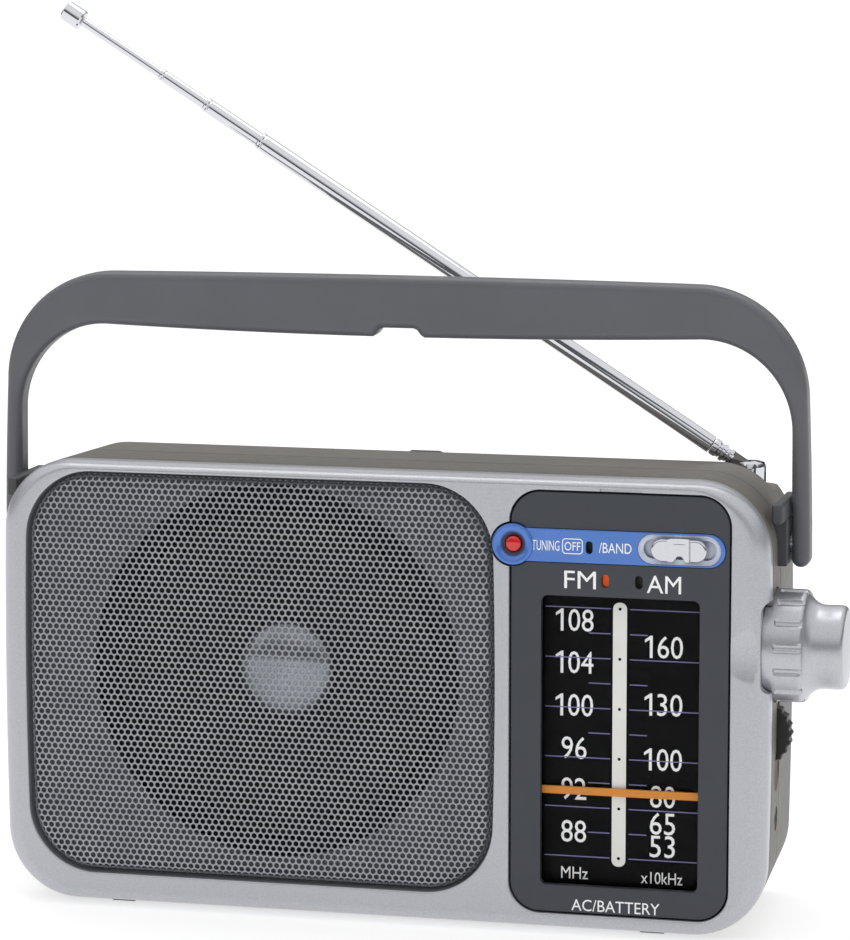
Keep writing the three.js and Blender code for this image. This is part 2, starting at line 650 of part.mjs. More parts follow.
function handlePin(side) {
  const ends = [side * (CASE_X - 5), side * (HANDLE_IN_X + 3.3)].sort((a, b) => a - b);
  return bar('x', PIN_RADIUS, ends[0], ends[1], PIVOT_Y, PIVOT_Z);
}

// Fixed pillar round the pin, with a wider block on top that reaches forwards beside the bezel.
function handleBoss(side) {
  const face = HANDLE_IN_X - 0.4;
  const [pillarLow, pillarHigh] = [side * 100, side * face].sort((a, b) => a - b);
  const [blockLow, blockHigh] = [side * (face - 3), side * face].sort((a, b) => a - b);
  return block(pillarLow, pillarHigh, 20, 35, 97.3, 110)
    .add(block(blockLow, blockHigh, 11, 36, 109.6, 114.9))
    .subtract(caseBody(GAP))
    .subtract(bar('x', PIN_RADIUS + GAP, -120, 120, PIVOT_Y, PIVOT_Z));
}

// ---- Antenna, built about its hinge pin with the mast along -X -------------------------------------
function antennaTurret() {
  const half = TURRET_RADIUS;
  const body = bar('z', half, -12, 3, 0, 0)
    .add(bar('z', half + 1.2, -12.5, -8, 0, 0));
  const slot = block(-10, 10, -FORK_GAP / 2, FORK_GAP / 2, -3.4, 5);
  const crown = bar('y', 3, -half, half, 0, 0, 24).add(block(-9, 9, -half, half, -20, 0));
  return body.intersect(crown.add(block(-9, 9, -9, 9, -20, -2)))
    .subtract(slot)
    .add(bar('y', 1, -TURRET_RADIUS + 0.4, TURRET_RADIUS - 0.4, 0, 0, 16));
}

function antennaKnuckle() {
  const tongue = FORK_GAP / 2 - 0.2;
  return bar('y', 2.7, -tongue, tongue, 0, 0, 24)
    .add(block(-7, 0, -tongue, tongue, -1.9, 1.9))
    .add(bar('x', 2.4, -12.6, -5.6, 0, 0, 24))
    .subtract(bar('y', 1.3, -9, 9, 0, 0, 16));
}

function antennaSection({ from, to, radius, bore }) {
  if (bore === 0) return bar('x', radius, -to, -from, 0, 0, 12);
  return turned(ring(bore, radius, -to, -from), 16, 'x');
}

function antennaTip() {
  const start = MAST_SECTIONS[3].to + GAP / 2;
  return turned([
    [0, -TIP_END], [TIP_RADIUS - 0.4, -TIP_END], [TIP_RADIUS, -TIP_END + 0.4],
    [TIP_RADIUS, -start - 0.4], [TIP_RADIUS - 0.4, -start], [0, -start],
  ], 24, 'x');
}

function antennaClip() {
  return block(-5.6, 4.6, 56.3, 58.3, LEDGE_Z + GAP / 2, 119.4)
    .add(block(-5.6, 4.6, 55.6, 59, LEDGE_Z + GAP / 2, LEDGE_Z + 0.8));
}

// ---- Assembly -----------------------------------------------------------------------------------
const FINISHES = {
  silver: { color: 0xc9ccd1, metalness: 0.6, roughness: 0.35 },
  grey: { color: 0x6f6b66, metalness: 0.1, roughness: 0.6 },
  grille: { color: 0x8b8e93, metalness: 0.8, roughness: 0.45 },
  panel: { color: 0x3d4148, metalness: 0.1, roughness: 0.5 },
  blue: { color: 0x4468b4, metalness: 0.3, roughness: 0.35 },
  red: { color: 0xd21f1c, metalness: 0, roughness: 0.3 },
  orange: { color: 0xd98a26, metalness: 0, roughness: 0.5 },
  dial: { color: 0x050507, metalness: 0, roughness: 0.3 },
  clear: { color: 0xdfe6ec, metalness: 0, roughness: 0.05 },
  handle: { color: 0x585a5f, metalness: 0.05, roughness: 0.55 },
  black: { color: 0x1b1c1e, metalness: 0, roughness: 0.6 },
  chrome: { color: 0xe4e6e8, metalness: 1, roughness: 0.12 },
  steel: { color: 0x9a9da1, metalness: 0.9, roughness: 0.35 },
  brass: { color: 0xb08a3e, metalness: 1, roughness: 0.35 },
  paper: { color: 0x1d1e20, metalness: 0, roughness: 0.9 },
  rubber: { color: 0x141414, metalness: 0, roughness: 0.9 },
  ferrite: { color: 0x2c2a2a, metalness: 0.1, roughness: 0.7 },
  copper: { color: 0xb0622c, metalness: 0.9, roughness: 0.35 },
  board: { color: 0x6d5a2a, metalness: 0, roughness: 0.6 },
  white: { color: 0xd9d9d4, metalness: 0, roughness: 0.5 },
};

function piece(name, solid, finish, parent, position = [0, 0, 0]) {
  const material = new THREE.MeshStandardMaterial(FINISHES[finish]);
  const mesh = new THREE.Mesh(geometryOf(solid), material);
  mesh.name = name;
  mesh.position.set(...position);
  parent.add(mesh);
}

function addCabinet(radio) {
  piece('front_bezel', frontBezel(), 'silver', radio);
  piece('front_cabinet', frontCabinet(), 'grey', radio);
  piece('rear_cabinet', rearCabinet(), 'grey', radio);
  piece('battery_cover', batteryCover(), 'grey', radio);
  for (const [row, y0] of Object.entries(FOOT_ROWS)) {
    piece(`foot_${row}_left`, foot(-FOOT_X, y0), 'rubber', radio);
    piece(`foot_${row}_right`, foot(FOOT_X, y0), 'rubber', radio);
  }
  screwPlaces().forEach(([x, z], i) => piece(`case_screw_${i + 1}`, screw(x, z), 'steel', radio));
}

function addSpeaker(radio) {
  const place = [SPEAKER_X, SPEAKER_FRONT, SPEAKER_Z];
  piece('speaker_grille', grille(), 'grille', radio);
  piece('speaker_baffle', baffle(), 'grey', radio);
  piece('speaker_frame', speakerFrame(), 'steel', radio, place);
  piece('speaker_magnet', speakerMagnet(), 'steel', radio, place);
  piece('speaker_surround', speakerSurround(), 'rubber', radio, place);
  piece('speaker_cone', speakerCone(), 'paper', radio, place);
}

function addDial(radio) {
  piece('dial_panel', dialPanel(), 'panel', radio);
  piece('control_strip', controlStrip(), 'blue', radio);
  piece('tuning_lamp', tuningLamp(), 'red', radio);
  piece('dial_window', dialWindow(), 'clear', radio);
  piece('dial_plate', dialPlate(), 'dial', radio);
  piece('dial_pointer', dialPointer(), 'orange', radio);
  piece('band_slider', bandSlider(), 'chrome', radio);
  piece('band_flag', bandFlag(), 'orange', radio);
  piece('band_switch', bandSwitch(), 'black', radio);
}

function addDrives(radio) {
  const knobPlace = [CASE_X, KNOB_Y, KNOB_Z];
  piece('tuning_knob', tuningKnob(), 'silver', radio, knobPlace);
  piece('tuning_shaft', tuningShaft(), 'steel', radio, knobPlace);
  piece('tuning_drum', grooved(DRUM_RADIUS, 1.5, 2.7), 'white', radio, [CORD_X, DRUM_Y, DRUM_Z]);
  piece('pulley_top', grooved(PULLEY_RADIUS, 1.5, 1), 'white', radio, [CORD_X, PULLEY_Y, PULLEY_TOP_Z]);
  piece('pulley_bottom', grooved(PULLEY_RADIUS, 1.5, 1), 'white', radio, [CORD_X, PULLEY_Y, PULLEY_LOW_Z]);
  piece('volume_wheel', volumeWheel(), 'black', radio, [WHEEL_X, WHEEL_Y, WHEEL_Z]);
  piece('volume_pot', volumePot(), 'steel', radio);
}

function addElectrics(radio) {
  piece('circuit_board', circuitBoard(), 'board', radio);
  piece('tuning_capacitor', tuningCapacitor(), 'white', radio);
  piece('power_transformer', transformer(), 'steel', radio);
  piece('ferrite_rod', ferriteRod(), 'ferrite', radio);
  piece('ferrite_coil', ferriteCoil(), 'copper', radio);
  piece('earphone_jack', earphoneJack(), 'black', radio);
  piece('mains_inlet', mainsInlet(), 'black', radio);
  piece('battery_spring_contact', springContact(), 'steel', radio);
  piece('battery_flat_contact', flatContact(), 'steel', radio);
  let number = 1;
  for (const z of CELL_ROWS) {
    for (const x of CELL_STARTS) {
      piece(`battery_cell_${number}`, batteryCell(x), 'white', radio, [0, CELL_Y, z]);
      number += 1;
    }
  }
}

function addHandle(radio) {
  piece('handle', handle(), 'handle', radio);
  piece('handle_pin_left', handlePin(-1), 'steel', radio);
  piece('handle_pin_right', handlePin(1), 'steel', radio);
  piece('handle_boss_left', handleBoss(-1), 'black', radio);
  piece('handle_boss_right', handleBoss(1), 'black', radio);
}

function addAntenna(radio) {
  piece('antenna_clip', antennaClip(), 'black', radio);
  const base = new THREE.Group();
  base.position.set(MAST_X, MAST_Y, MAST_Z);
  radio.add(base);
  piece('antenna_turret', antennaTurret(), 'chrome', base);
  const mast = new THREE.Group();
  mast.rotation.y = MAST_TILT;
  base.add(mast);
  piece('antenna_knuckle', antennaKnuckle(), 'chrome', mast);
  for (const section of MAST_SECTIONS) piece(section.name, antennaSection(section), 'chrome', mast);
  piece('antenna_tip', antennaTip(), 'chrome', mast);
}

const radio = new THREE.Group();
radio.position.set(-ORIGIN_X, -ORIGIN_Y, 0);
addCabinet(radio);
addSpeaker(radio);
addDial(radio);
addDrives(radio);
addElectrics(radio);
addHandle(radio);
addAntenna(radio);

const model = new THREE.Group();
model.add(radio);
model.updateMatrixWorld(true);

export default model;
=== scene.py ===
"""Looks for a portable table radio: a rounded cabinet, grille, slide-rule dial, handle and antenna."""
import json
import math

import bmesh
import bpy
import numpy as np
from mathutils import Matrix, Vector
from mathutils.geometry import tessellate_polygon


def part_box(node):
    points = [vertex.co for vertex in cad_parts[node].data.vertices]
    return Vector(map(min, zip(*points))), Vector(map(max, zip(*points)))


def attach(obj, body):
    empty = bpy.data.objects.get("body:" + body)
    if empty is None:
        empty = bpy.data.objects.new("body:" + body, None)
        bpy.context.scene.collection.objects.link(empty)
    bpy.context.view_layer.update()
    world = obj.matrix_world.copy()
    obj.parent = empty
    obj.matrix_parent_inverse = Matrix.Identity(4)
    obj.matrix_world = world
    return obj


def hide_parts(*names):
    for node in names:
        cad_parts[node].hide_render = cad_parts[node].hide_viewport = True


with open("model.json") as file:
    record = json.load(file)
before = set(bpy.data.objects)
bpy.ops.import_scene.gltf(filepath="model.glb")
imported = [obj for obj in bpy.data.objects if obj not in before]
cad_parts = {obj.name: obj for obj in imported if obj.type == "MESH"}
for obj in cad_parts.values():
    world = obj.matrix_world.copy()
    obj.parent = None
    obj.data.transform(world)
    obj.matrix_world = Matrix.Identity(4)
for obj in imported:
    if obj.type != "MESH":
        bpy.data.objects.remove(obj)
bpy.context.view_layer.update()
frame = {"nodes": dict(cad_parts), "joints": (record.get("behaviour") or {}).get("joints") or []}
NODES = frame["nodes"]

# Cabinet millimetres: x from the cabinet's middle, y from its front face, z from the table.
MM = 0.001
BEZEL_LOW, BEZEL_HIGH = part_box("front_bezel")
ORIGIN = Vector(((BEZEL_LOW.x + BEZEL_HIGH.x) / 2, BEZEL_LOW.y, 0))


def span(node):
    """A CAD node's lowest and highest corners in cabinet millimetres."""
    return [(corner - ORIGIN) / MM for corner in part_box(node)]


def middle(node):
    """The centre of a CAD node's box, as x, y and z in cabinet millimetres."""
    low, high = span(node)
    return [(a + b) / 2 for a, b in zip(low, high)]


def front_sizes(node, **more):
    """A CAD node's outline seen from the front, as arguments of rounded()."""
    low, high = span(node)
    return dict(x0=low.x, x1=high.x, z0=low.z, z1=high.z, **more)


def joint(name):
    return next(j for j in frame["joints"] if j["name"] == name)


def pivot(name):
    """Where a hinge's axis passes, in cabinet millimetres."""
    return (Vector(joint(name)["pos_m"]) - ORIGIN) / MM


CASE_LOW, CASE_HIGH = span("front_bezel")
HALF_WIDTH = CASE_HIGH.x
CASE_BOTTOM = CASE_LOW.z
CASE_TOP = CASE_HIGH.z
BEZEL_DEPTH = CASE_HIGH.y
CASE_DEPTH = span("rear_cabinet")[1].y
SEAM_Y = (span("front_cabinet")[1].y + span("rear_cabinet")[0].y) / 2
CASE_CORNER = 19.0
CASE_BOW = 0.9
TOP_FALL = 1.5
SIDE_FALL = 2.9
REAR_EDGE = 5.0
LEDGE_Y = 48.0
LEDGE_Z = 113.0
CORNER_STEPS = 16
BEZEL_EDGE = 4.8
BEZEL_LIP = 0.45
WALL = 2.2
FIT = 0.3
BAY_Y = 45.2
PIN_HOLE = 2.8
# Places well outside the cabinet, where cutters end.
OUT_X, OUT_Y, OUT_Z = 130, 80, 140
KNOB_RING = 14.8
LAMP_RING = 5.5

GRILLE_EDGE = dict(x0=-97.3, x1=32.0, z0=9.5, z1=118.9, corner=18, bow=1.1)
PANEL_EDGE = dict(x0=35.9, x1=94.4, z0=5.8, z1=118.3, corner=8.3, bow=0)
WINDOW_EDGE = dict(x0=44.4, x1=86.2, z0=13.5, z1=90.6, corner=1.7, bow=0)
KNOB_NOTCH = dict(x0=102.1, x1=130, z0=66.4, z1=90.9, corner=3)
STRIP_Z = 103.8
LAMP_X = 36.8
LAMP = (LAMP_X, 0, STRIP_Z)


# ---- Materials ----
def srgb(red, green, blue):
    """8-bit display colour to linear RGBA."""
    return (*[(v / 255 / 12.92) if v <= 10 else ((v / 255 + 0.055) / 1.055) ** 2.4
              for v in (red, green, blue)], 1)


def set_inputs(node, **values):
    for socket, value in values.items():
        node.inputs[socket.replace("_", " ")].default_value = value
    return node


class Recipe:
    """A Principled material with a few node helpers."""

    def __init__(self, name, colour, roughness, metallic=0.0, **sockets):
        self.material = bpy.data.materials.new(name)
        self.material.use_nodes = True
        self.tree = self.material.node_tree
        self.shader = self.tree.nodes["Principled BSDF"]
        set_inputs(self.shader, Base_Color=colour, Roughness=roughness, Metallic=metallic)
        set_inputs(self.shader, **sockets)
        self.place = self.node("TexCoord").outputs["Object"]

    def node(self, kind, **values):
        return set_inputs(self.tree.nodes.new(f"ShaderNode{kind}"), **values)

    def link(self, output, node_input):
        self.tree.links.new(output, node_input)

    def noise(self, scale, detail=2.0, stretch=(1, 1, 1)):
        mapping = self.node("Mapping", Scale=stretch)
        self.link(self.place, mapping.inputs["Vector"])
        texture = self.node("TexNoise", Scale=scale, Detail=detail)
        self.link(mapping.outputs["Vector"], texture.inputs["Vector"])
        return texture.outputs["Fac"]

    def spread(self, value, low, high):
        """Maps a noise value to a number between low and high."""
        ramp = self.node("MapRange", From_Min=0.3, From_Max=0.7, To_Min=low, To_Max=high)
        self.link(value, ramp.inputs["Value"])
        return ramp.outputs["Result"]

    def tint(self, value, low, high):
        """Base colour between two colours by a noise value."""
        mix = self.node("Mix")
        mix.data_type = "RGBA"
        mix.inputs[6].default_value = low
        mix.inputs[7].default_value = high
        self.link(self.spread(value, 0, 1), mix.inputs[0])
        self.link(mix.outputs[2], self.shader.inputs["Base Color"])
        return self

    def vary_roughness(self, value, low, high):
        self.link(self.spread(value, low, high), self.shader.inputs["Roughness"])
        return self

    def bump(self, value, depth, strength=1.0):
        relief = self.node("Bump", Strength=strength, Distance=depth * MM)
        self.link(value, relief.inputs["Height"])
        self.link(relief.outputs["Normal"], self.shader.inputs["Normal"])
        return self


def moulded(name, colour, roughness, grain, depth, mottle=0.06, **sockets):
    """Moulded plastic: fine grain, faint mottling and uneven gloss."""
    recipe = Recipe(name, colour, roughness, **sockets)
    dark = tuple(c * (1 - mottle) for c in colour[:3]) + (1,)
    light = tuple(min(1, c * (1 + mottle)) for c in colour[:3]) + (1,)
    recipe.tint(recipe.noise(60, 4), dark, light)
    recipe.vary_roughness(recipe.noise(300, 3), roughness - 0.04, roughness + 0.04)
    return recipe.bump(recipe.noise(grain), depth).material


def polished(name, colour, roughness, stretch=(1, 1, 1)):
    """Polished or plated metal with faint drawing marks."""
    recipe = Recipe(name, colour, roughness, 1.0)
    recipe.vary_roughness(recipe.noise(400, 3, stretch), roughness * 0.7, roughness * 1.3)
    return recipe.bump(recipe.noise(900, 2, stretch), 0.002, 0.5).material


def silver_paint(name, metallic, roughness):
    """Metallic paint: tiny flakes that sparkle differently, under a thin clear coat."""
    recipe = Recipe(name, srgb(184, 186, 191), roughness, metallic, Coat_Weight=0.25, Coat_Roughness=0.12)
    recipe.tint(recipe.noise(5200, 1), srgb(171, 173, 179), srgb(196, 198, 203))
    recipe.vary_roughness(recipe.noise(3800, 1), roughness - 0.04, roughness + 0.08)
    return recipe.bump(recipe.noise(2600, 1), 0.004, 0.35).material


def grille_coat():
    recipe = Recipe("grille_coat", srgb(154, 157, 162), 0.4, 0.7)
    recipe.tint(recipe.noise(90, 3), srgb(147, 150, 155), srgb(162, 164, 169))
    return recipe.bump(recipe.noise(2400, 2), 0.006, 0.5).material


def clear_plastic(name, colour, roughness=0.015):
    recipe = Recipe(name, colour, roughness, Transmission_Weight=1.0, IOR=1.004)
    recipe.vary_roughness(recipe.noise(200, 2), roughness * 0.6, roughness * 1.5)
    return recipe.material


def printed_ink(name, colour):
    recipe = Recipe(name, colour, 0.45)
    recipe.tint(recipe.noise(800, 2), tuple(c * 0.96 for c in colour[:3]) + (1,), colour)
    return recipe.material


SILVER = silver_paint("silver_paint", 0.62, 0.36)
KNOB_SILVER = silver_paint("knob_paint", 0.82, 0.33)
GREY = moulded("warm_grey_plastic", srgb(108, 104, 98), 0.52, 1700, 0.02)
GRILLE = grille_coat()
BAFFLE = moulded("baffle_plastic", srgb(90, 91, 95), 0.6, 1500, 0.02)
SLATE = moulded("slate_panel", srgb(56, 60, 68), 0.45, 3000, 0.006, 0.04)
BLUE = moulded("blue_foil", srgb(76, 122, 200), 0.3, 2600, 0.003, 0.05, Metallic=0.35, Coat_Weight=0.4)
SATIN = moulded("satin_recess", srgb(214, 222, 238), 0.3, 2600, 0.003, 0.04, Metallic=0.15)
HANDLE = moulded("handle_plastic", srgb(95, 97, 102), 0.42, 2400, 0.010, 0.05)
BLACK = moulded("black_plastic", srgb(34, 34, 36), 0.45, 2200, 0.010, 0.08)
BOSS = moulded("boss_plastic", srgb(72, 73, 77), 0.45, 2200, 0.010, 0.08)
DIAL = moulded("dial_black", srgb(7, 7, 9), 0.4, 2600, 0.002, 0.05, Specular_IOR_Level=0.1)
ORANGE = moulded("orange_pointer", srgb(222, 140, 44), 0.4, 2400, 0.004, 0.05)
# The flag patches glow faintly through emission: painted light that lifts them out of the shade behind the
# panel.
FLAG_PAINTED_GLOW = moulded("orange_flag_painted_glow", srgb(250, 112, 48), 0.45, 2400, 0.004, 0.05,
               Emission_Color=srgb(250, 90, 30), Emission_Strength=0.35)
LENS = moulded("lamp_lens", srgb(214, 28, 26), 0.15, 2600, 0.001, 0.04, Coat_Weight=0.6)
RUBBER = moulded("rubber", srgb(28, 28, 29), 0.75, 1600, 0.02, 0.1)
PAPER = moulded("cone_paper", srgb(12, 12, 14), 0.7, 900, 0.05, 0.2)
CAP = moulded("dust_cap", srgb(176, 182, 190), 0.16, 1800, 0.004, 0.06, Metallic=0.75, Coat_Weight=0.3)
CHROME = polished("chrome", (0.66, 0.67, 0.70, 1), 0.08)
SATIN_CHROME = polished("satin_chrome", (0.6, 0.61, 0.64, 1), 0.16, (1, 1, 12))
STEEL = polished("steel", (0.50, 0.51, 0.53, 1), 0.3, (1, 1, 12))
# The speaker's steel pan is near black: painted shade standing for the dark inside the cabinet behind the
# grille.
SHADED_STEEL = polished("steel_painted_shade", (0.02, 0.02, 0.022, 1), 0.45)
COPPER = polished("copper_wire", (0.75, 0.32, 0.14, 1), 0.3, (12, 1, 1))
WHITE_INK = printed_ink("white_ink", srgb(252, 252, 252))
LAVENDER_INK = printed_ink("lavender_ink", srgb(128, 124, 178))
IVORY = moulded("ivory_plastic", srgb(240, 239, 234), 0.45, 2000, 0.008, 0.04)
BOARD = moulded("board_laminate", srgb(132, 96, 52), 0.55, 1500, 0.02, 0.15)
FERRITE = moulded("ferrite", srgb(46, 44, 44), 0.6, 1400, 0.03, 0.12)
SLEEVE = moulded("battery_sleeve", srgb(48, 54, 66), 0.3, 2600, 0.003, 0.08, Coat_Weight=0.5)
WINDOW = clear_plastic("dial_window_acrylic", (1, 1, 1, 1))

CAD_LOOKS = (
    (STEEL, "case_screw_1 case_screw_2 case_screw_3 case_screw_4 speaker_magnet tuning_shaft volume_pot "
            "power_transformer battery_spring_contact battery_flat_contact handle_pin_left handle_pin_right"),
    (IVORY, "tuning_drum pulley_top pulley_bottom tuning_capacitor"),
    (SLEEVE, "battery_cell_1 battery_cell_2 battery_cell_3 battery_cell_4"),
    (BLACK, "band_switch mains_inlet earphone_jack"),
    (BOARD, "circuit_board"), (FERRITE, "ferrite_rod"), (COPPER, "ferrite_coil"),
    (BAFFLE, "speaker_baffle"), (DIAL, "dial_plate"), (WINDOW, "dial_window"),
)


# ---- Mesh helpers ----
def shade(mesh, angle):
    mesh.polygons.foreach_set("use_smooth", [True] * len(mesh.polygons))
    mesh.set_sharp_from_angle(angle=math.radians(angle))


def new_object(name, mesh):
    piece = bpy.data.objects.new(name, mesh)
    bpy.context.scene.collection.objects.link(piece)
    return piece


def build(name, verts, faces, angle=35):
    """An object from vertices in cabinet millimetres."""
    mesh = bpy.data.meshes.new(name)
    points = np.asarray(verts, float) * MM + np.array(ORIGIN)
    mesh.from_pydata(points.tolist(), [], [list(f) for f in faces])
    mesh.validate()
    mesh.update()
    shade(mesh, angle)
    return new_object(name, mesh)


def apply_modifiers(piece):
    graph = bpy.context.evaluated_depsgraph_get()
    mesh = bpy.data.meshes.new_from_object(piece.evaluated_get(graph))
    piece.modifiers.clear()
    piece.data = mesh
    return piece


def carve(piece, cutter, operation="DIFFERENCE", angle=35):
    """Cuts or joins a solid, then throws the cutter away."""
    modifier = piece.modifiers.new("carve", "BOOLEAN")
    modifier.operation = operation
    modifier.solver = "MANIFOLD"
    modifier.object = cutter
    apply_modifiers(piece)
    bpy.data.objects.remove(cutter)
    shade(piece.data, angle)
    return piece


def even_normals(piece):
    modifier = piece.modifiers.new("even_normals", "WEIGHTED_NORMAL")
    modifier.keep_sharp = True
    modifier.weight = 100
    return piece


def finish_piece(piece, material, body, slot, *nodes):
    """Gives a piece its material and its body, and hides the CAD nodes it stands for. The slot is not used.
    """
    piece.data.materials.clear()
    piece.data.materials.append(material)
    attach(piece, body)
    if nodes:
        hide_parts(*nodes)
    return piece


def oval(cx, cz, radius_x, radius_z, degrees):
    """Points of an oval at the given angles."""
    return [(cx + radius_x * math.cos(a), cz + radius_z * math.sin(a)) for a in np.radians(list(degrees))]


def arc(cx, cz, radius, start, end, steps):
    return oval(cx, cz, radius, radius, np.linspace(start, end, steps + 1))


def full_turn(steps):
    """Equal angles all the way round, in radians."""
    return [2 * math.pi * k / steps for k in range(steps)]


def quarter_turn(steps):
    """Angles from 0 to 90 degrees, in radians."""
    return [math.radians(90 * k / steps) for k in range(steps + 1)]


def rounded(x0, x1, z0, z1, corner, bow=0.0, grow=0.0, steps=CORNER_STEPS):
    """A rectangle with round corners, counter-clockwise, whose left and right sides swell by bow."""
    x0, x1, z0, z1 = x0 - grow, x1 + grow, z0 - grow, z1 + grow
    r = max(corner + grow, 0.05)
    points = (arc(x1 - r, z0 + r, r, -90, 0, steps) + arc(x1 - r, z1 - r, r, 0, 90, steps)
              + arc(x0 + r, z1 - r, r, 90, 180, steps) + arc(x0 + r, z0 + r, r, 180, 270, steps))
    if not bow:
        return points
    middle, half = (z0 + z1) / 2, (z1 - z0) / 2
    sides = [(x1, z0 + r + (z1 - z0 - 2 * r) * k / 12) for k in range(1, 12)]
    points[steps + 1:steps + 1] = sides
    left_at = 3 * (steps + 1) + len(sides)
    points[left_at:left_at] = [(x0, z) for _, z in reversed(sides)]
    width = (x1 - x0) / 2
    centre = (x0 + x1) / 2

    def swell(x, z):
        share = (x - centre) / width
        return x - share * bow * ((z - middle) / half) ** 2

    return [(swell(x, z), z) for x, z in points]


def capsule(x0, x1, z, half, steps=12):
    return arc(x1 - half, z, half, -90, 90, steps) + arc(x0 + half, z, half, 90, 270, steps)


def bridge(rings, closed_ends=(False, False)):
    """Vertices and faces that join equal rings of (x, y, z) points one after another."""
    verts = [p for ring in rings for p in ring]
    count = len(rings[0])
    faces = []
    for level in range(len(rings) - 1):
        for i in range(count):
            a, b = level * count + i, level * count + (i + 1) % count
            faces.append((a, b, b + count, a + count))
    if closed_ends[0]:
        faces.append(tuple(reversed(range(count))))
    if closed_ends[1]:
        faces.append(tuple(range((len(rings) - 1) * count, len(rings) * count)))
    return verts, faces


def at_depth(outline, y):
    return [(x, y, z) for x, z in outline]


def front_rim(grow, radius, y, steps=5):
    """Rings of a rounded front rim, from its flat face at y back to the full outline."""
    return [at_depth(grow(-radius * (1 - math.sin(a))), y + radius * (1 - math.cos(a)))
            for a in quarter_turn(steps)]


def back_rim(grow, radius, y, steps=5):
    """Rings of a rounded back rim, from the full outline to its flat face at y."""
    return [at_depth(grow(-radius * (1 - math.cos(a))), y - radius * (1 - math.sin(a)))
            for a in quarter_turn(steps)]


def fix_normals(piece, merge=False):
    """Turns every face outwards, after merging points that coincide if asked to."""
    mesh = bmesh.new()
    mesh.from_mesh(piece.data)
    if merge:
        bmesh.ops.remove_doubles(mesh, verts=mesh.verts, dist=1e-7)
    bmesh.ops.recalc_face_normals(mesh, faces=mesh.faces)
    mesh.to_mesh(piece.data)
    mesh.free()
    return piece


def prism(name, shape, y0, y1, front=0.0, back=0.0):
    """A closed slab. The shape is an outline or, for round rims, a function from growth to outline."""
    outline = shape(0) if callable(shape) else shape
    rings = front_rim(shape, front, y0) if front else [at_depth(outline, y0)]
    rings += back_rim(shape, back, y1) if back else [at_depth(outline, y1)]
    return fix_normals(build(name, *bridge(rings, (True, True))))


def plate(name, sizes, y0, y1, front=0.0, back=0.0):
    """A slab with round corners, from the arguments of rounded()."""
    return prism(name, lambda grow: rounded(**sizes, grow=grow), y0, y1, front, back)


def block(name, x0, x1, y0, y1, z0, z1):
    return prism(name, [(x0, z0), (x1, z0), (x1, z1), (x0, z1)], y0, y1)


def hoop(name, rings, angle=35):
    """A closed band whose last ring joins its first."""
    verts, faces = bridge(rings + rings[:1])
    total = len(verts) - len(rings[0])
    faces = [tuple(i % total for i in face) for face in faces]
    return fix_normals(build(name, verts[:total], faces, angle))


def fill(verts, loops):
    """Triangles that close the flat area between loops of vertex numbers."""
    order = [i for loop in loops for i in loop]
    flat = [[Vector((verts[i][0], verts[i][2], 0)) for i in loop] for loop in loops]
    return [tuple(order[i] for i in triangle) for triangle in tessellate_polygon(flat)]


def pierced(name, parts, angle=40):
    """A plate from the rings of its outside and of each hole, closed flat at the front and back."""
    verts, faces = [], []
    front_loops, back_loops = [], []
    for rings in parts:
        start = len(verts)
        count = len(rings[0])
        more_verts, more_faces = bridge(rings)
        verts += more_verts
        faces += [tuple(i + start for i in face) for face in more_faces]
        front_loops.append(list(range(start, start + count)))
        back_loops.append(list(range(len(verts) - count, len(verts))))
    faces += fill(verts, front_loops) + fill(verts, back_loops)
    return fix_normals(build(name, verts, faces, angle))


def lathe(name, profile, centre, axis="y", steps=64, angle=35):
    """Revolves (radius, height) points; the height runs along the axis from the centre."""
    rings = []
    for radius, height in profile:
        ring = []
        for a in full_turn(steps):
            u, v = radius * math.cos(a), radius * math.sin(a)
            ring.append({"x": (height, u, v), "y": (u, height, v), "z": (u, v, height)}[axis])
        rings.append(ring)
    is_open = profile[0] != profile[-1]
    verts, faces = bridge(rings, (is_open, is_open))
    piece = fix_normals(build(name, np.asarray(verts) + np.asarray(centre), faces, angle), merge=True)
    shade(piece.data, angle)
    return piece


def rod(radius, start, end, place, axis="y", steps=64):
    """A plain cylinder to cut or join with, from start to end along an axis through a place."""
    return lathe("rod", [(0, start), (radius, start), (radius, end), (0, end)], place, axis, steps)


def join(name, pieces):
    """One mesh object from several, with no change of place."""
    mesh = bmesh.new()
    for piece in pieces:
        mesh.from_mesh(piece.data)
        bpy.data.objects.remove(piece)
    data = bpy.data.meshes.new(name)
    mesh.to_mesh(data)
    mesh.free()
    return new_object(name, data)


# ---- Cabinet ----
def case_outline(grow=0.0):
    return rounded(-HALF_WIDTH, HALF_WIDTH, CASE_BOTTOM, CASE_TOP, CASE_CORNER, CASE_BOW, grow)


def case_ring(grow, y):
    """The grey cabinet's outline at a depth: its top falls and its sides draw in towards the back."""
    share = max(0, y - BEZEL_DEPTH) / (CASE_DEPTH - BEZEL_DEPTH)
    narrow = 1 - share * SIDE_FALL / HALF_WIDTH
    drop = share * TOP_FALL / (CASE_TOP - CASE_BOTTOM)
    return [(x * narrow, y, z - drop * (z - CASE_BOTTOM)) for x, z in case_outline(grow)]


def case_solid(name, inset, y0, y1):
    """The cabinet's outer or inner form between two depths, rounded at the back."""
    rings = [case_ring(-inset, y0)]
    if y1 > CASE_DEPTH - REAR_EDGE:
        back = CASE_DEPTH - inset
        radius = REAR_EDGE - inset
        for a in quarter_turn(8):
            rings.append(case_ring(-inset - radius * (1 - math.cos(a)), back - radius * (1 - math.sin(a))))
    else:
        rings.append(case_ring(-inset, y1))
    return fix_normals(build(name, *bridge(rings, (True, True))))


def knob_room(start):
    """Room for the knob's ring from x = start outwards."""
    turn = pivot("tuning_turn")
    return rod(KNOB_RING + 0.4, start - turn.x, 20, turn, "x")


def ball(centre, radius):
    """A sphere to scoop a hollow with."""
    return lathe("ball", arc(0, 0, radius, -90, 90, 60), centre, "y", 128)


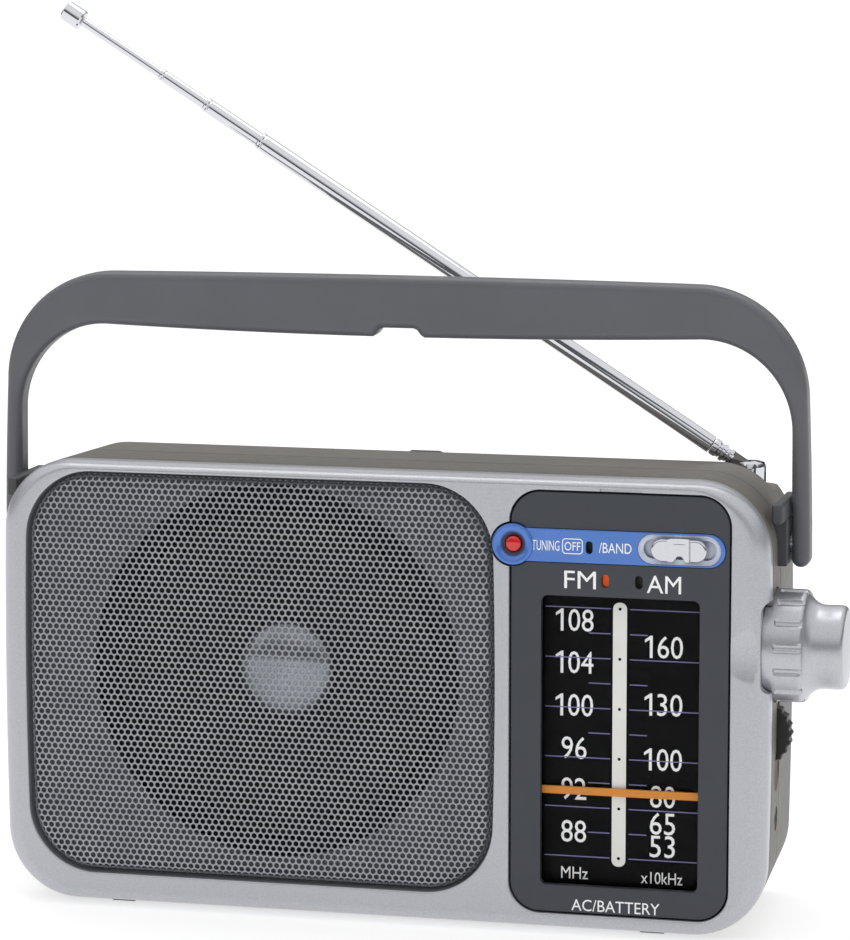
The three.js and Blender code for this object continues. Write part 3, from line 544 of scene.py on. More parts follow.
def pin_hole(reach=120):
    """A cutter along the line of both handle pins."""
    turn = pivot("handle_swing")
    return rod(PIN_HOLE, -reach, reach, (0, turn.y, turn.z), "x")


def bezel_outline(share):
    """The bezel's edge, moved in by a share of the wide rounding along it."""
    return rounded(-HALF_WIDTH + 5.0 * share, HALF_WIDTH - 5.0 * share,
                   CASE_BOTTOM + 3.3 * share, CASE_TOP - 2.0 * share,
                   CASE_CORNER - 3.0 * share, CASE_BOW)


def front_bezel():
    """Silver front: one flat face with two openings, a wide soft outer edge and a knob notch."""
    outside = front_rim(lambda grow: bezel_outline(-grow / BEZEL_EDGE), BEZEL_EDGE, 0, 12)
    outside += [at_depth(case_outline(), BEZEL_DEPTH), at_depth(case_outline(-2), BEZEL_DEPTH),
                at_depth(case_outline(-2), BEZEL_EDGE)]
    parts = [outside]
    for hole in (GRILLE_EDGE, PANEL_EDGE):
        rings = front_rim(lambda grow, sizes=hole: rounded(**sizes, grow=-grow), BEZEL_LIP, 0, 3)
        parts.append(rings + [at_depth(rounded(**hole), BEZEL_EDGE)])
    bezel = pierced("bezel", parts)
    carve(bezel, plate("notch", KNOB_NOTCH, -2, 16))
    carve(bezel, knob_room(98))
    carve(bezel, ball((99.7, -39.3, pivot("tuning_turn").z - 0.5), 40))
    carve(bezel, rod(LAMP_RING + 0.5, -2, 10, LAMP))
    carve(bezel, block("slot", 59.8, 71, -1, 1.0, CASE_TOP - 3.4, CASE_TOP - 2.4), angle=40)
    finish_piece(even_normals(bezel), SILVER, "cabinet", "silver_plastic", "front_bezel")


def front_cabinet():
    """Grey shell between the silver front and the rear cabinet, with a fine crease near the front."""
    y0 = BEZEL_DEPTH + 0.1
    y1 = SEAM_Y - 0.1
    bevel, crease = 0.25, 0.35
    levels = [(bevel, y0), (0.0, y0 + bevel), (0.0, y0 + 2.3), (crease, y0 + 2.5),
              (0.0, y0 + 2.7), (0.0, y1 - bevel), (bevel, y1), (WALL, y1), (WALL, y0)]
    shell = hoop("front_shell", [case_ring(-inset, y) for inset, y in levels])
    carve(shell, knob_room(96))
    carve(shell, pin_hole())
    wheel_low, wheel_high = span("volume_wheel")
    wheel = pivot("volume_turn")
    carve(shell, rod((wheel_high.x - wheel_low.x) / 2 + 0.5, -3.1, 3.1, wheel))
    carve(shell, rod(3.3, -12, 10, (HALF_WIDTH, *middle("earphone_jack")[1:]), "x"))
    carve(shell, ball((HALF_WIDTH + 10.6, wheel.y, wheel.z - 10), 13))
    finish_piece(even_normals(shell), GREY, "cabinet", "grey_plastic", "front_cabinet")


def rear_cabinet():
    """Rear shell with the antenna's step, the battery bay and the recessed inlet."""
    outer = case_solid("rear_shell", 0, SEAM_Y + 0.1, CASE_DEPTH)
    carve(outer, block("step", -OUT_X, OUT_X, LEDGE_Y, OUT_Y, LEDGE_Z, OUT_Z))
    hollow = case_solid("hollow", WALL, SEAM_Y - 1, CASE_DEPTH)
    carve(hollow, block("step", -OUT_X, OUT_X, LEDGE_Y - WALL, OUT_Y, LEDGE_Z - WALL, OUT_Z))
    low, high = span("battery_cover")
    x0, x1, z0, z1 = low.x - FIT, high.x + FIT, low.z - FIT, high.z + FIT
    wall = 1.5
    carve(hollow, block("bay", x0 - wall, x1 + wall, BAY_Y - wall, OUT_Y, z0 - wall, z1 + wall))
    carve(outer, hollow)
    carve(outer, block("bay", x0, x1, BAY_Y, OUT_Y, z0, z1))
    low, high = span("mains_inlet")
    inlet = capsule(low.x - FIT, high.x + FIT, middle("mains_inlet")[2], (high.z - low.z) / 2 + FIT)
    carve(outer, prism("socket", inlet, 55, OUT_Y))
    screw_hole = [(0, 57), (3.1, 57), (3.1, 62.6), (3.6, 63.2), (3.6, OUT_Y), (0, OUT_Y)]
    for i in range(1, 5):
        x, _, z = middle(f"case_screw_{i}")
        carve(outer, lathe("screw_hole", screw_hole, (x, 0, z)))
    carve(outer, knob_room(96))
    carve(outer, pin_hole())
    carve(outer, rod(4.3, -16, 10, pivot("antenna_swivel"), "z"))
    finish_piece(even_normals(outer), GREY, "cabinet", "grey_plastic", "rear_cabinet")


def battery_cover():
    """Drop-down cover with a thumb hollow and five fine grooves."""
    low, high = span("battery_cover")
    cover = plate("battery_door", front_sizes("battery_cover", corner=1.2), low.y, high.y, 0, 0.5)
    x, z = middle("battery_cover")[0], high.z - 8
    carve(cover, ball((x, high.y + 7.8, z), 9))
    for k in range(5):
        groove = capsule(x - 7, x + 7, z - 7 - 1.6 * k, 0.35, 6)
        carve(cover, prism("groove", groove, high.y - 0.35, high.y + 1))
    finish_piece(even_normals(cover), GREY, "battery_door", "grey_plastic", "battery_cover")


def feet():
    for row in ("front", "rear"):
        for side in ("left", "right"):
            node = f"foot_{row}_{side}"
            low, high = span(node)
            pad = plate(f"pad_{row}_{side}", front_sizes(node, corner=0.6, steps=4), low.y, high.y, 0.5, 0.5)
            finish_piece(pad, RUBBER, "cabinet", "rubber_black", node)


# ---- Speaker ----
HOLE_PITCH = 1.8
HOLE_RADIUS = 0.73
GRILLE_ROLL = 3.0
GRILLE_SHEET = 0.3
GRILLE_MIDDLE = np.array([GRILLE_EDGE["x0"] + GRILLE_EDGE["x1"], GRILLE_EDGE["z0"] + GRILLE_EDGE["z1"]]) / 2
GRILLE_HALF = np.array([GRILLE_EDGE["x1"] - GRILLE_EDGE["x0"], GRILLE_EDGE["z1"] - GRILLE_EDGE["z0"]]) / 2
# How far the flat sheet reaches past the grille's edge before its rim is rolled back.
GRILLE_SURPLUS = (math.pi / 2 - 1) * GRILLE_ROLL


def edge_distance(points):
    """Signed distance of (x, z) points from the grille's edge, negative inside, and its gradient."""
    gap = 0.8
    corner = GRILLE_EDGE["corner"] - gap
    local = points - GRILLE_MIDDLE
    q = np.abs(local) - (GRILLE_HALF - gap - corner)
    outside = np.maximum(q, 0)
    length = np.linalg.norm(outside, axis=1)
    inside = np.minimum(np.maximum(q[:, 0], q[:, 1]), 0)
    gradient = np.where(length[:, None] > 1e-9, outside / np.maximum(length, 1e-9)[:, None],
                        np.stack([q[:, 0] > q[:, 1], q[:, 0] <= q[:, 1]], 1).astype(float))
    return length + inside - corner, gradient * np.sign(local)


def bend_sheet(points, depth):
    """Places developed sheet points on the grille: flat in the middle, rolled back along its edge."""
    distance, gradient = edge_distance(points)
    run = GRILLE_SURPLUS - distance
    angle = np.clip(run / GRILLE_ROLL, 0, math.pi / 2)
    rolled = run < math.pi / 2 * GRILLE_ROLL
    radius = GRILLE_ROLL - depth
    inward = np.where(rolled, GRILLE_ROLL - radius * np.cos(angle), -distance)
    back = np.where(rolled, GRILLE_ROLL - radius * np.sin(angle), depth) + np.maximum(-run, 0)
    flat = points + gradient * (-distance - inward)[:, None]
    share = (flat - GRILLE_MIDDLE) / GRILLE_HALF
    x = flat[:, 0] - share[:, 0] * GRILLE_EDGE["bow"] * share[:, 1] ** 2
    return np.stack([x, back, flat[:, 1]], 1)


def speaker_grille():
    """Perforated sheet: one six-sided cell per hole, bent back along the grille's edge."""
    row = HOLE_PITCH * math.sqrt(3) / 2
    columns = np.arange(GRILLE_EDGE["x0"] - 3, GRILLE_EDGE["x1"] + 3, HOLE_PITCH)
    rows = np.arange(GRILLE_EDGE["z0"] - 3, GRILLE_EDGE["z1"] + 3, row)
    centres = np.array([(x + (HOLE_PITCH / 2 if k % 2 else 0), z)
                        for k, z in enumerate(rows) for x in columns])
    centres = centres[edge_distance(centres)[0] < GRILLE_SURPLUS]
    corners = 12
    angles = math.radians(30) + np.arange(corners) * 2 * math.pi / corners
    reach = HOLE_PITCH / math.sqrt(3)
    spread = np.where(np.arange(corners) % 2 == 0, reach, HOLE_PITCH / 2)
    rim = np.stack([np.cos(angles), np.sin(angles)], 1)
    hole = centres[:, None, :] + rim * HOLE_RADIUS
    cell = centres[:, None, :] + rim * spread[:, None]
    edge_points, which = np.unique(np.round(cell.reshape(-1, 2), 3), axis=0, return_inverse=True)
    which = which.reshape(-1, corners)
    hole_points = hole.reshape(-1, 2)
    flat = np.concatenate([hole_points, edge_points])
    count = len(flat)
    verts = np.concatenate([bend_sheet(flat, 0.0), bend_sheet(flat, GRILLE_SHEET)])
    ids = np.arange(len(hole_points)).reshape(-1, corners)
    edge_ids = which + len(hole_points)
    after = np.roll(ids, -1, axis=1)
    edge_after = np.roll(edge_ids, -1, axis=1)
    front = np.stack([ids, edge_ids, edge_after, after], 2).reshape(-1, 4)
    back = front[:, ::-1] + count
    wall = np.stack([ids, after, after + count, ids + count], 2).reshape(-1, 4)
    lines = np.stack([edge_ids, edge_after], 2).reshape(-1, 2)
    pairs, times = np.unique(np.sort(lines, axis=1), axis=0, return_counts=True)
    single = {tuple(p) for p in pairs[times == 1]}
    rim_faces = [(b, a, a + count, b + count) for a, b in lines if tuple(sorted((a, b))) in single]
    faces = np.concatenate([front, back, wall, np.array(rim_faces)])
    sheet = build("grille_sheet", verts + [0, 0.1, 0], faces, 50)
    finish_piece(sheet, GRILLE, "cabinet", "grille_metal", "speaker_grille")


def speaker():
    """Cone, dust cap, rubber edge and steel frame, all turned about one line."""
    x, _, z = middle("speaker_frame")
    centre = Vector((x, span("speaker_frame")[0].y, z))
    cone = [(13.0, 9.4)]
    cone += [(13 + 27 * t, 9.4 - 9 * t ** 0.82) for t in np.linspace(0.05, 1, 24)]
    cone += [(41, 0.4), (41, 0.9), (40, 1.0)]
    cone += [(13.6 + 26 * t, 10.4 - 9.2 * t ** 0.82) for t in np.linspace(0.95, 0, 16)]
    cone += [(13.1, 22), (12.1, 22), (12.1, 9.8), (13.0, 9.4)]
    cap = [(0, 4.4)] + oval(0, 9.2, 13.2, 4.8, range(-84, 1, 6))
    cap += [(13.2, 9.6), (12.6, 9.6), (12.0, 8.9), (0, 5.2)]
    edge = [(41.3, 0.2)] + oval(42.7, 0, 1.4, -1.1, range(170, 9, -16))
    edge += [(44.5, 0.2), (44.5, 0.7), (41.3, 0.7), (41.3, 0.2)]
    basket = [(45, 0), (51.3, 0), (51.5, 0.2), (51.5, 1.2), (46.2, 1.2), (28, 15), (28, 19), (16.6, 19),
              (16.6, 18), (26.5, 18), (26.5, 14.6), (45, 0.6), (45, 0)]
    for name, profile, angle, material, slot, nodes in (
            ("paper_cone", cone, 60, PAPER, "cone_paper", ["speaker_cone"]),
            ("dust_cap", cap, 60, CAP, "cone_paper", []),
            ("rubber_edge", edge, 60, RUBBER, "rubber_black", ["speaker_surround"]),
            ("speaker_pan", basket, 35, SHADED_STEEL, "steel", ["speaker_frame"])):
        piece = lathe(name, profile, centre, steps=96, angle=angle)
        finish_piece(piece, material, "cabinet", slot, *nodes)


# ---- Dial ----
FM_WINDOW = (61.3, 94.9)
AM_WINDOW = (70.2, 94.9)
OFF_WINDOW = (57.1, 103.6)
SLOT_LEFT, SLOT_RIGHT = 73.8, 87.8
WINDOW_HALF_X = 0.95
WINDOW_HALF_Z = 1.7


def flag_window(x, z, grow=0.0):
    """A narrow upright oval."""
    half_x, half_z = WINDOW_HALF_X + grow, WINDOW_HALF_Z + grow
    return arc(x, z + half_z - half_x, half_x, 0, 180, 8) + arc(x, z - half_z + half_x, half_x, 180, 360, 8)


def slot_outline(half):
    """Outline round the slider's slot, half being its half height and the radius of its ends."""
    return capsule(SLOT_LEFT - half, SLOT_RIGHT + half, STRIP_Z, half, 16)


def strip_outline(grow=0.0):
    return capsule(LAMP_X - 4.4 - grow, 92.9 + grow, STRIP_Z, 4.4 + grow, 16)


def dial_panel():
    """Slate plate with round front edges outside, in its window and in the two flag windows."""
    low, high = span("dial_panel")
    sizes = front_sizes("dial_panel", corner=PANEL_EDGE["corner"] - BEZEL_LIP)
    edge = 0.25
    rings = front_rim(lambda grow: rounded(**sizes, grow=grow), edge, low.y, 3)
    parts = [rings + [at_depth(rounded(**sizes), high.y)]]
    for hole in (lambda grow: rounded(**WINDOW_EDGE, grow=grow),
                 lambda grow: flag_window(*FM_WINDOW, grow),
                 lambda grow: flag_window(*AM_WINDOW, grow)):
        parts.append([at_depth(hole(edge), low.y), at_depth(hole(edge * 0.3), low.y + edge * 0.3),
                      at_depth(hole(0), low.y + edge), at_depth(hole(0), high.y)])
    panel = pierced("panel_plate", parts)
    carve(panel, prism("strip_seat", strip_outline(0.15), -1, 1.7))
    carve(panel, prism("slot", capsule(SLOT_LEFT - 3.6, SLOT_RIGHT + 3.6, STRIP_Z, 2.6), -1, 5))
    carve(panel, rod(LAMP_RING + 0.3, -2, 8, LAMP), angle=40)
    carve(panel, prism("window", flag_window(*OFF_WINDOW), -1, 5), angle=40)
    finish_piece(even_normals(panel), SLATE, "cabinet", "panel_plastic", "dial_panel")


def control_strip():
    """Blue strip with a raised ring round the lamp and a bright recess round the slider."""
    strip = prism("strip_bar", strip_outline, 0.15, 1.3, 0.35)
    carve(strip, prism("slot", slot_outline(4.0), -1, 5))
    carve(strip, prism("window", flag_window(*OFF_WINDOW), -1, 5))
    carve(strip, rod(LAMP_RING - 0.3, -2, 8, LAMP), angle=40)
    profile = [(3.0, 1.3), (3.1, 0.4), (3.7, -0.1), (4.4, -0.4), (4.9, -0.5), (LAMP_RING - 0.2, -0.35),
               (LAMP_RING, 0.1), (LAMP_RING, 1.3), (3.0, 1.3)]
    ring = lathe("lamp_ring", profile, LAMP, steps=96, angle=50)
    finish_piece(even_normals(strip), BLUE, "cabinet", "blue_trim", "control_strip")
    finish_piece(ring, BLUE, "cabinet", "blue_trim")
    levels = ((3.9, 0.35), (3.5, 0.9), (2.6, 1.25), (2.6, 1.6), (3.9, 1.6))
    rings = [at_depth(slot_outline(half), y) for half, y in levels]
    finish_piece(hoop("slider_recess", rings, 50), SATIN, "cabinet", "blue_trim")


def tuning_lamp():
    dome = [(0, 0.3)] + oval(0, 1.0, 2.1, 0.7, range(-80, 1, 10)) + [(2.1, 8), (0, 8)]
    lens = lathe("lamp_lens", dome, LAMP, steps=48, angle=50)
    finish_piece(lens, LENS, "cabinet", "lamp_lens", "tuning_lamp")
    well = [(3.05, 0.9), (2.3, 1.3), (2.3, 2.2), (3.05, 2.2), (3.05, 0.9)]
    finish_piece(lathe("lamp_well", well, LAMP, steps=48), SLATE, "cabinet", "panel_plastic")


def band_slider():
    """Bright slider: a long round-ended cap with a wide finger hollow and a notch under it."""
    x = middle("band_slider")[0]
    slider = prism("slider_cap", lambda grow: capsule(x - 7.4 - grow, x + 7.4 + grow, STRIP_Z, 3.0 + grow),
                   -0.95, 0.7, 0.7)
    carve(slider, rod(4.2, -6, 6, (x, -3.75, STRIP_Z), "z", 128))
    notch = [(x - 2.4, STRIP_Z - 4), (x + 2.4, STRIP_Z - 4), (x, STRIP_Z - 0.9)]
    carve(slider, prism("notch", notch, -2, 1.3))
    stem = block("stem", x - 3, x + 3, 0, 8, STRIP_Z - 1.5, STRIP_Z + 1.5)
    carve(slider, stem, "UNION", 40)
    finish_piece(even_normals(slider), SATIN_CHROME, "band_selector", "chrome_metal", "band_slider")


def band_flag():
    """Dark plate behind the panel whose three orange patches show which band is chosen."""
    low, high = span("band_flag")
    x = middle("band_slider")[0]
    flag = block("flag_plate", low.x, high.x, low.y, high.y, low.z, high.z)
    carve(flag, block("slot", x - 3.3, x + 3.3, 0, 9, STRIP_Z - 1.8, STRIP_Z + 1.8))
    finish_piece(flag, BLACK, "band_selector", "black_plastic", "band_flag")
    throw = joint("band_slide")["range_m"][1] / MM
    reach = 10.5 + throw
    patch_depths = low.y - 0.06, low.y - 0.01
    shutter = prism("slider_shutter", capsule(x - reach, x + reach, STRIP_Z, 3.0), *patch_depths)
    finish_piece(shutter, SATIN, "band_selector", "blue_trim")
    for name, window, shift in (("fm", FM_WINDOW, 0), ("am", AM_WINDOW, -throw), ("off", OFF_WINDOW, throw)):
        outline = flag_window(window[0] + shift, window[1], 0.3)
        # The orange patches glow a little: painted light, not a lamp.
        finish_piece(prism(f"flag_{name}", outline, *patch_depths), FLAG_PAINTED_GLOW, "band_selector", "orange_plastic")


PRINT = 0.05


def lettering(name, text, x, z, height, width, y):
    """Flat raised print: a word or number as a thin mesh, centred on x and z, with its back at y."""
    curve = bpy.data.curves.new(name, "FONT")
    curve.body = text
    curve.size = 1
    curve.extrude = 0.02
    curve.resolution_u = 3
    piece = new_object(name, curve)
    graph = bpy.context.evaluated_depsgraph_get()
    mesh = bpy.data.meshes.new_from_object(piece.evaluated_get(graph))
    bpy.data.objects.remove(piece)
    points = np.array([v.co for v in mesh.vertices])
    low, high = points.min(0), points.max(0)
    centre, size = (low + high) / 2, high - low
    u = (points[:, 0] - centre[0]) * width / size[0] + x
    v = (points[:, 1] - centre[1]) * height / size[1] + z
    depth = y - PRINT * (points[:, 2] > 0)
    places = np.stack([u, depth, v], 1) * MM + np.array(ORIGIN)
    mesh.vertices.foreach_set("co", places.ravel())
    mesh.update()
    finish_piece(new_object(name, mesh), WHITE_INK, "cabinet", "dial_print")


SCALE_TOP = 87.0
SCALE_STEP = 13.3
DIGIT_WIDTH = 3.35
DIGIT_HEIGHT = 5.9
STROKE = 0.75


def dial_number(column, text, x, z, face):
    """A number on the dial. Its first 1 has a flag, which the font's own 1 lacks."""
    name = f"{column}_number_{text}"
    width = DIGIT_WIDTH * len(text)
    if text.startswith("1"):
        left = x - width / 2
        stem = left + 1.3
        low, high = z - DIGIT_HEIGHT / 2, z + DIGIT_HEIGHT / 2
        outline = [(stem, low), (stem + STROKE, low), (stem + STROKE, high), (stem + 0.2, high),
                   (left, high - 1.1), (left, high - 1.9), (stem, high - 1.1)]
        one = prism(f"{column}_one_{text}", outline, face - PRINT, face)
        finish_piece(one, WHITE_INK, "cabinet", "dial_print")
        text, x, width = text[1:], x + DIGIT_WIDTH / 2, width - DIGIT_WIDTH
    lettering(name, text, x, z, DIGIT_HEIGHT, width, face)


def dial_face():
    """Numbers, scale lines and the white bar with its dots, on the black plate."""
    face = span("dial_plate")[0].y - 0.02
    heights = [SCALE_TOP - SCALE_STEP * k for k in range(6)]
    lines = []
    for z in heights:
        lines += [(44.7, 62.1, z), (67.2, 85.9, z)]
        if z != heights[-1]:
            lines += [(56.3, 62.1, z - SCALE_STEP / 2), (67.2, 71.9, z - SCALE_STEP / 2)]
    bars = [block("line", x0, x1, face - 0.08, face, z - 0.13, z + 0.13) for x0, x1, z in lines]
    finish_piece(join("scale_lines", bars), LAVENDER_INK, "cabinet", "dial_print")
    bar = prism("scale_bar", rounded(62.7, 66.4, 18.3, 88.7, 1.7), face - 0.1, face)
    for z in heights:
        carve(bar, rod(0.42, -1, 1, (64.55, face, z), steps=24))
    finish_piece(bar, IVORY, "cabinet", "dial_print")
    fm = [("108", 83.6), ("104", 72.4), ("100", 61.0), ("96", 49.6), ("92", 38.6), ("88", 27.2)]
    am = [("160", 77.4), ("130", 62.1), ("100", 47.5), ("80", 37.6), ("65", 30.4), ("53", 24.3)]
    for column, numbers, x in (("fm", fm, 52.5), ("am", am, 76.2)):
        for text, z in numbers:
            dial_number(column, text, x, z, face)
    lettering("unit_mhz", "MHz", 52.8, 16.0, 3.2, 7.2, face)
    lettering("unit_khz", "x10kHz", 76.1, 15.8, 3.2, 11.0, face)


def panel_print():
    face = span("dial_panel")[0].y - 0.01
    strip_face = 0.14
    for name, text, x, z, height, width, y in (
            ("word_fm", "FM", 54.7, 95.0, 4.6, 8.4, face),
            ("word_am", "AM", 76.8, 94.6, 4.6, 9.0, face),
            ("word_power", "AC/BATTERY", 64.6, 8.4, 3.1, 23.5, face),
            ("word_tuning", "TUNING", 45.6, STRIP_Z, 2.7, 7.3, strip_face),
            ("word_off", "OFF", 52.7, STRIP_Z, 2.3, 4.2, strip_face),
            ("word_band", "/BAND", 64.0, STRIP_Z - 0.1, 2.7, 8.6, strip_face)):
        lettering(name, text, x, z, height, width, y)
    box = dict(x0=50.1, x1=55.3, z0=STRIP_Z - 1.9, z1=STRIP_Z + 1.9, corner=0.8, steps=5)
    top = strip_face - PRINT
    rings = [at_depth(rounded(**box, grow=grow), y)
             for grow, y in ((0.15, strip_face), (0.15, top), (-0.1, top), (-0.1, strip_face))]
    finish_piece(hoop("off_frame", rings), WHITE_INK, "cabinet", "dial_print")


def dial_pointer():
    """Needle in front of the dial plate, with a hook round the plate's edge and a clamp behind it."""
    low, high = span("dial_pointer")
    needle = plate("needle", front_sizes("dial_pointer", corner=0.5, steps=4), low.y, low.y + 0.7, 0.2)
    carve(needle, block("hook", high.x - 1.6, high.x, low.y + 0.3, high.y, low.z, high.z), "UNION")
    carve(needle, block("clamp", 79.5, high.x, high.y - 1.3, high.y, low.z, high.z), "UNION")
    finish_piece(even_normals(needle), ORANGE, "pointer", "orange_plastic", "dial_pointer")


# ---- Knob and volume wheel ----
def knob_profile():
    """Where the knob turns, and its (radius, x) profile from inside the cabinet to the crown."""
    turn = pivot("tuning_turn")
    low, high = span("tuning_knob")
    inner, crown = low.x - turn.x, high.x - turn.x
    ring, boss = KNOB_RING, 11.0
    points = [(0, inner), (ring - 0.8, inner), (ring - 0.2, inner + 0.3), (ring, inner + 0.9)]
    points += [(ring, x) for x in np.linspace(-3, 6.9, 34)]
    points += [(ring - 0.15, 7.4), (ring - 0.6, 7.9)]
    for t in np.linspace(0.08, 1, 14):
        drop = ring - 0.6 - boss
        points.append((ring - 0.6 - drop * math.sin(math.radians(90 * t)), 7.9 + 4.3 * t ** 1.35))
    points += [(boss - 0.05, 13.0), (boss, 14.2), (boss + 0.05, crown - 3.4), (boss, crown - 2.7)]
    points += arc(boss - 1.6, crown - 2.2, 1.6, 10, 90, 8)
    points += [(boss - 3.5, crown - 0.4), (boss - 6, crown - 0.18), (boss - 9, crown - 0.04), (0, crown)]
    return turn, points


def tuning_knob():
    """Turned knob with evenly spaced rounded grooves along its ring."""
    turn, profile = knob_profile()
    grooves, per_groove = 14, 22
    start, end, half_angle, depth = 0.6, 7.7, math.radians(3.9), 0.8
    first = math.radians(-5.5)
    pitch = 2 * math.pi / grooves
    rings = []
    for radius, x in profile:
        along = max(0.0, min(1.0, (x - start) / 0.5, (end - x) / 0.5)) if radius > 13.9 else 0.0
        ring = []
        for a in full_turn(grooves * per_groove):
            phase = (a - first + pitch / 2) % pitch - pitch / 2
            across = max(0.0, 1 - (phase / half_angle) ** 2)
            r = radius - depth * math.sqrt(across * along)
            ring.append((turn.x + x, turn.y + r * math.sin(a), turn.z + r * math.cos(a)))
        rings.append(ring)
    knob = fix_normals(build("knob", *bridge(rings), 40), merge=True)
    shade(knob.data, 40)
    finish_piece(knob, KNOB_SILVER, "tuning_control", "silver_plastic", "tuning_knob")


def volume_wheel():
    """Thumbwheel with rounded teeth."""
    low, high = span("volume_wheel")
    turn = pivot("volume_turn")
    teeth, per_tooth, half, bevel, core = 24, 12, 2.5, 0.35, 4
    rings = []
    for inset, y in ((None, -half), (bevel, -half), (0, bevel - half), (0, half - bevel), (bevel, half),
                     (None, half)):
        ring = []
        for a in full_turn(teeth * per_tooth):
            wave = 0.55 * (0.5 - 0.5 * math.cos(a * teeth)) ** 0.7
            r = core if inset is None else (high.z - low.z) / 2 - inset - wave
            ring.append((turn.x + r * math.cos(a), turn.y + y, turn.z + r * math.sin(a)))
        rings.append(ring)
    disc = fix_normals(build("thumbwheel", *bridge(rings, (True, True)), 40))
    carve(disc, rod(1.8, 2, high.y - turn.y, turn, steps=32), "UNION", 40)
    finish_piece(disc, BLACK, "volume_control", "black_plastic", "volume_wheel")


# ---- Handle ----
HANDLE_LEAN = 1.1
HANDLE_SHOULDER = 30.0
HANDLE_INSIDE = 24.0
HANDLE_UNDER = 155.8
HANDLE_IN_X = 106.3
HANDLE_SAG = 1.5
NOTCH_HALF = 7.0
NOTCH_DEPTH = 2.4


def under_grip(x, shoulder, grow):
    """Height of the grip's underside: a slight belly with a soft-edged notch in the middle."""
    belly = HANDLE_UNDER - HANDLE_SAG * (1 - (x / shoulder) ** 2)
    t = min(1.0, max(0.0, (NOTCH_HALF - grow - abs(x)) / 2.6))
    return belly - grow + NOTCH_DEPTH * t * t * (3 - 2 * t)


def handle_outline(grow=0.0):
    """The handle seen from the front; grow moves its edge outwards."""
    low, high = span("handle")
    half = (high.x - HANDLE_IN_X) / 2
    foot_z = low.z + half
    outer, inner = HANDLE_SHOULDER + grow, HANDLE_INSIDE - grow
    top = high.z - 0.5 + grow
    x_out = high.x + grow
    x_in = HANDLE_IN_X - grow
    right = arc(high.x - half, foot_z, half + grow, -180, 0, 16)
    for t in (0.2, 0.4, 0.6, 0.8):
        right.append((x_out - HANDLE_LEAN * t ** 1.6, foot_z + (top - outer - foot_z) * t))
    right += arc(x_out - HANDLE_LEAN - outer, top - outer, outer, 0, 90, 28)
    crown = x_out - HANDLE_LEAN - outer
    over = [(crown * (1 - 2 * t), top + 0.5 * (1 - (1 - 2 * t) ** 2)) for t in np.linspace(0, 1, 25)[1:-1]]
    left = [(-x, z) for x, z in reversed(right)]
    shoulder = x_in - 0.3 - inner
    bend_z = HANDLE_UNDER - grow - inner
    inside = [(x_in - 0.3 * t, foot_z + (bend_z - foot_z) * t) for t in (0.3, 0.6)]
    corner = arc(shoulder, bend_z, inner, 0, 90, 24)
    under = [(x, under_grip(x, shoulder, grow)) for x in np.linspace(-shoulder, shoulder, 161)[1:-1]]
    rising = [(-x, z) for x, z in inside + corner]
    falling = list(reversed(inside + corner))
    return right + over + left + rising + under + falling


def handle():
    low, high = span("handle")
    edge = 2.1
    rings = front_rim(handle_outline, edge, low.y, 8) + back_rim(handle_outline, edge, high.y, 8)
    bail = pierced("handle_bail", [rings])
    carve(bail, pin_hole(span("handle_pin_right")[1].x + 0.3))
    finish_piece(even_normals(bail), HANDLE, "handle_bail", "handle_plastic", "handle")


def soft_block(name, x0, x1, y0, y1, z0, z1, edge=0.5):
    """A box with round edges seen from the front and round front and back rims."""
    sizes = dict(x0=x0, x1=x1, z0=z0, z1=z1, corner=edge + 0.1, steps=5)
    return plate(name, sizes, y0, y1, edge, edge)


def handle_bosses():
    """Pillar round each pin with a wider block on top, standing out from the cabinet's side."""
    for side in ("left", "right"):
        low, high = span(f"handle_boss_{side}")
        sign = 1 if side == "right" else -1
        face = high.x if side == "right" else -low.x
        pillar_x = sorted((sign * 100, sign * face))
        block_x = sorted((sign * (face - 3), sign * face))
        boss = soft_block(f"pivot_boss_{side}", *pillar_x, 20, 35, low.z, 110)
        carve(boss, soft_block("top", *block_x, low.y, 36, 109.7, high.z, 0.7), "UNION")
        carve(boss, case_solid("case", -0.1, 5, 50))
        carve(boss, pin_hole())
        finish_piece(even_normals(boss), BOSS, "cabinet", "black_plastic", f"handle_boss_{side}")


# ---- Antenna ----
TILT = math.radians(32.4)
MAST = pivot("antenna_tilt")
SECTIONS = (
    ("antenna_section_outer", "antenna_mast", "mast_outer", 13.0, 162.5, 2.45, 2.15),
    ("antenna_section_third", "antenna_third", "mast_third", 34.0, 180.7, 2.0, 1.75),
    ("antenna_section_second", "antenna_second", "mast_second", 55.0, 195.8, 1.6, 1.4),
    ("antenna_section_inner", "antenna_inner", "mast_inner", 84.0, 222.2, 1.25, 0.0),
)


def lean(piece):
    """Turns a piece made along -x at the hinge pin up to the mast's rest angle."""
    count = len(piece.data.vertices)
    points = np.empty(count * 3)
    piece.data.vertices.foreach_get("co", points)
    pin = np.array(ORIGIN) + np.array(MAST) * MM
    local = points.reshape(-1, 3) - pin
    c, s = math.cos(TILT), math.sin(TILT)
    x, y, z = local.T
    turned = np.stack([x * c + z * s, y, z * c - x * s], 1)
    piece.data.vertices.foreach_set("co", (turned + pin).ravel())
    piece.data.update()
    return piece


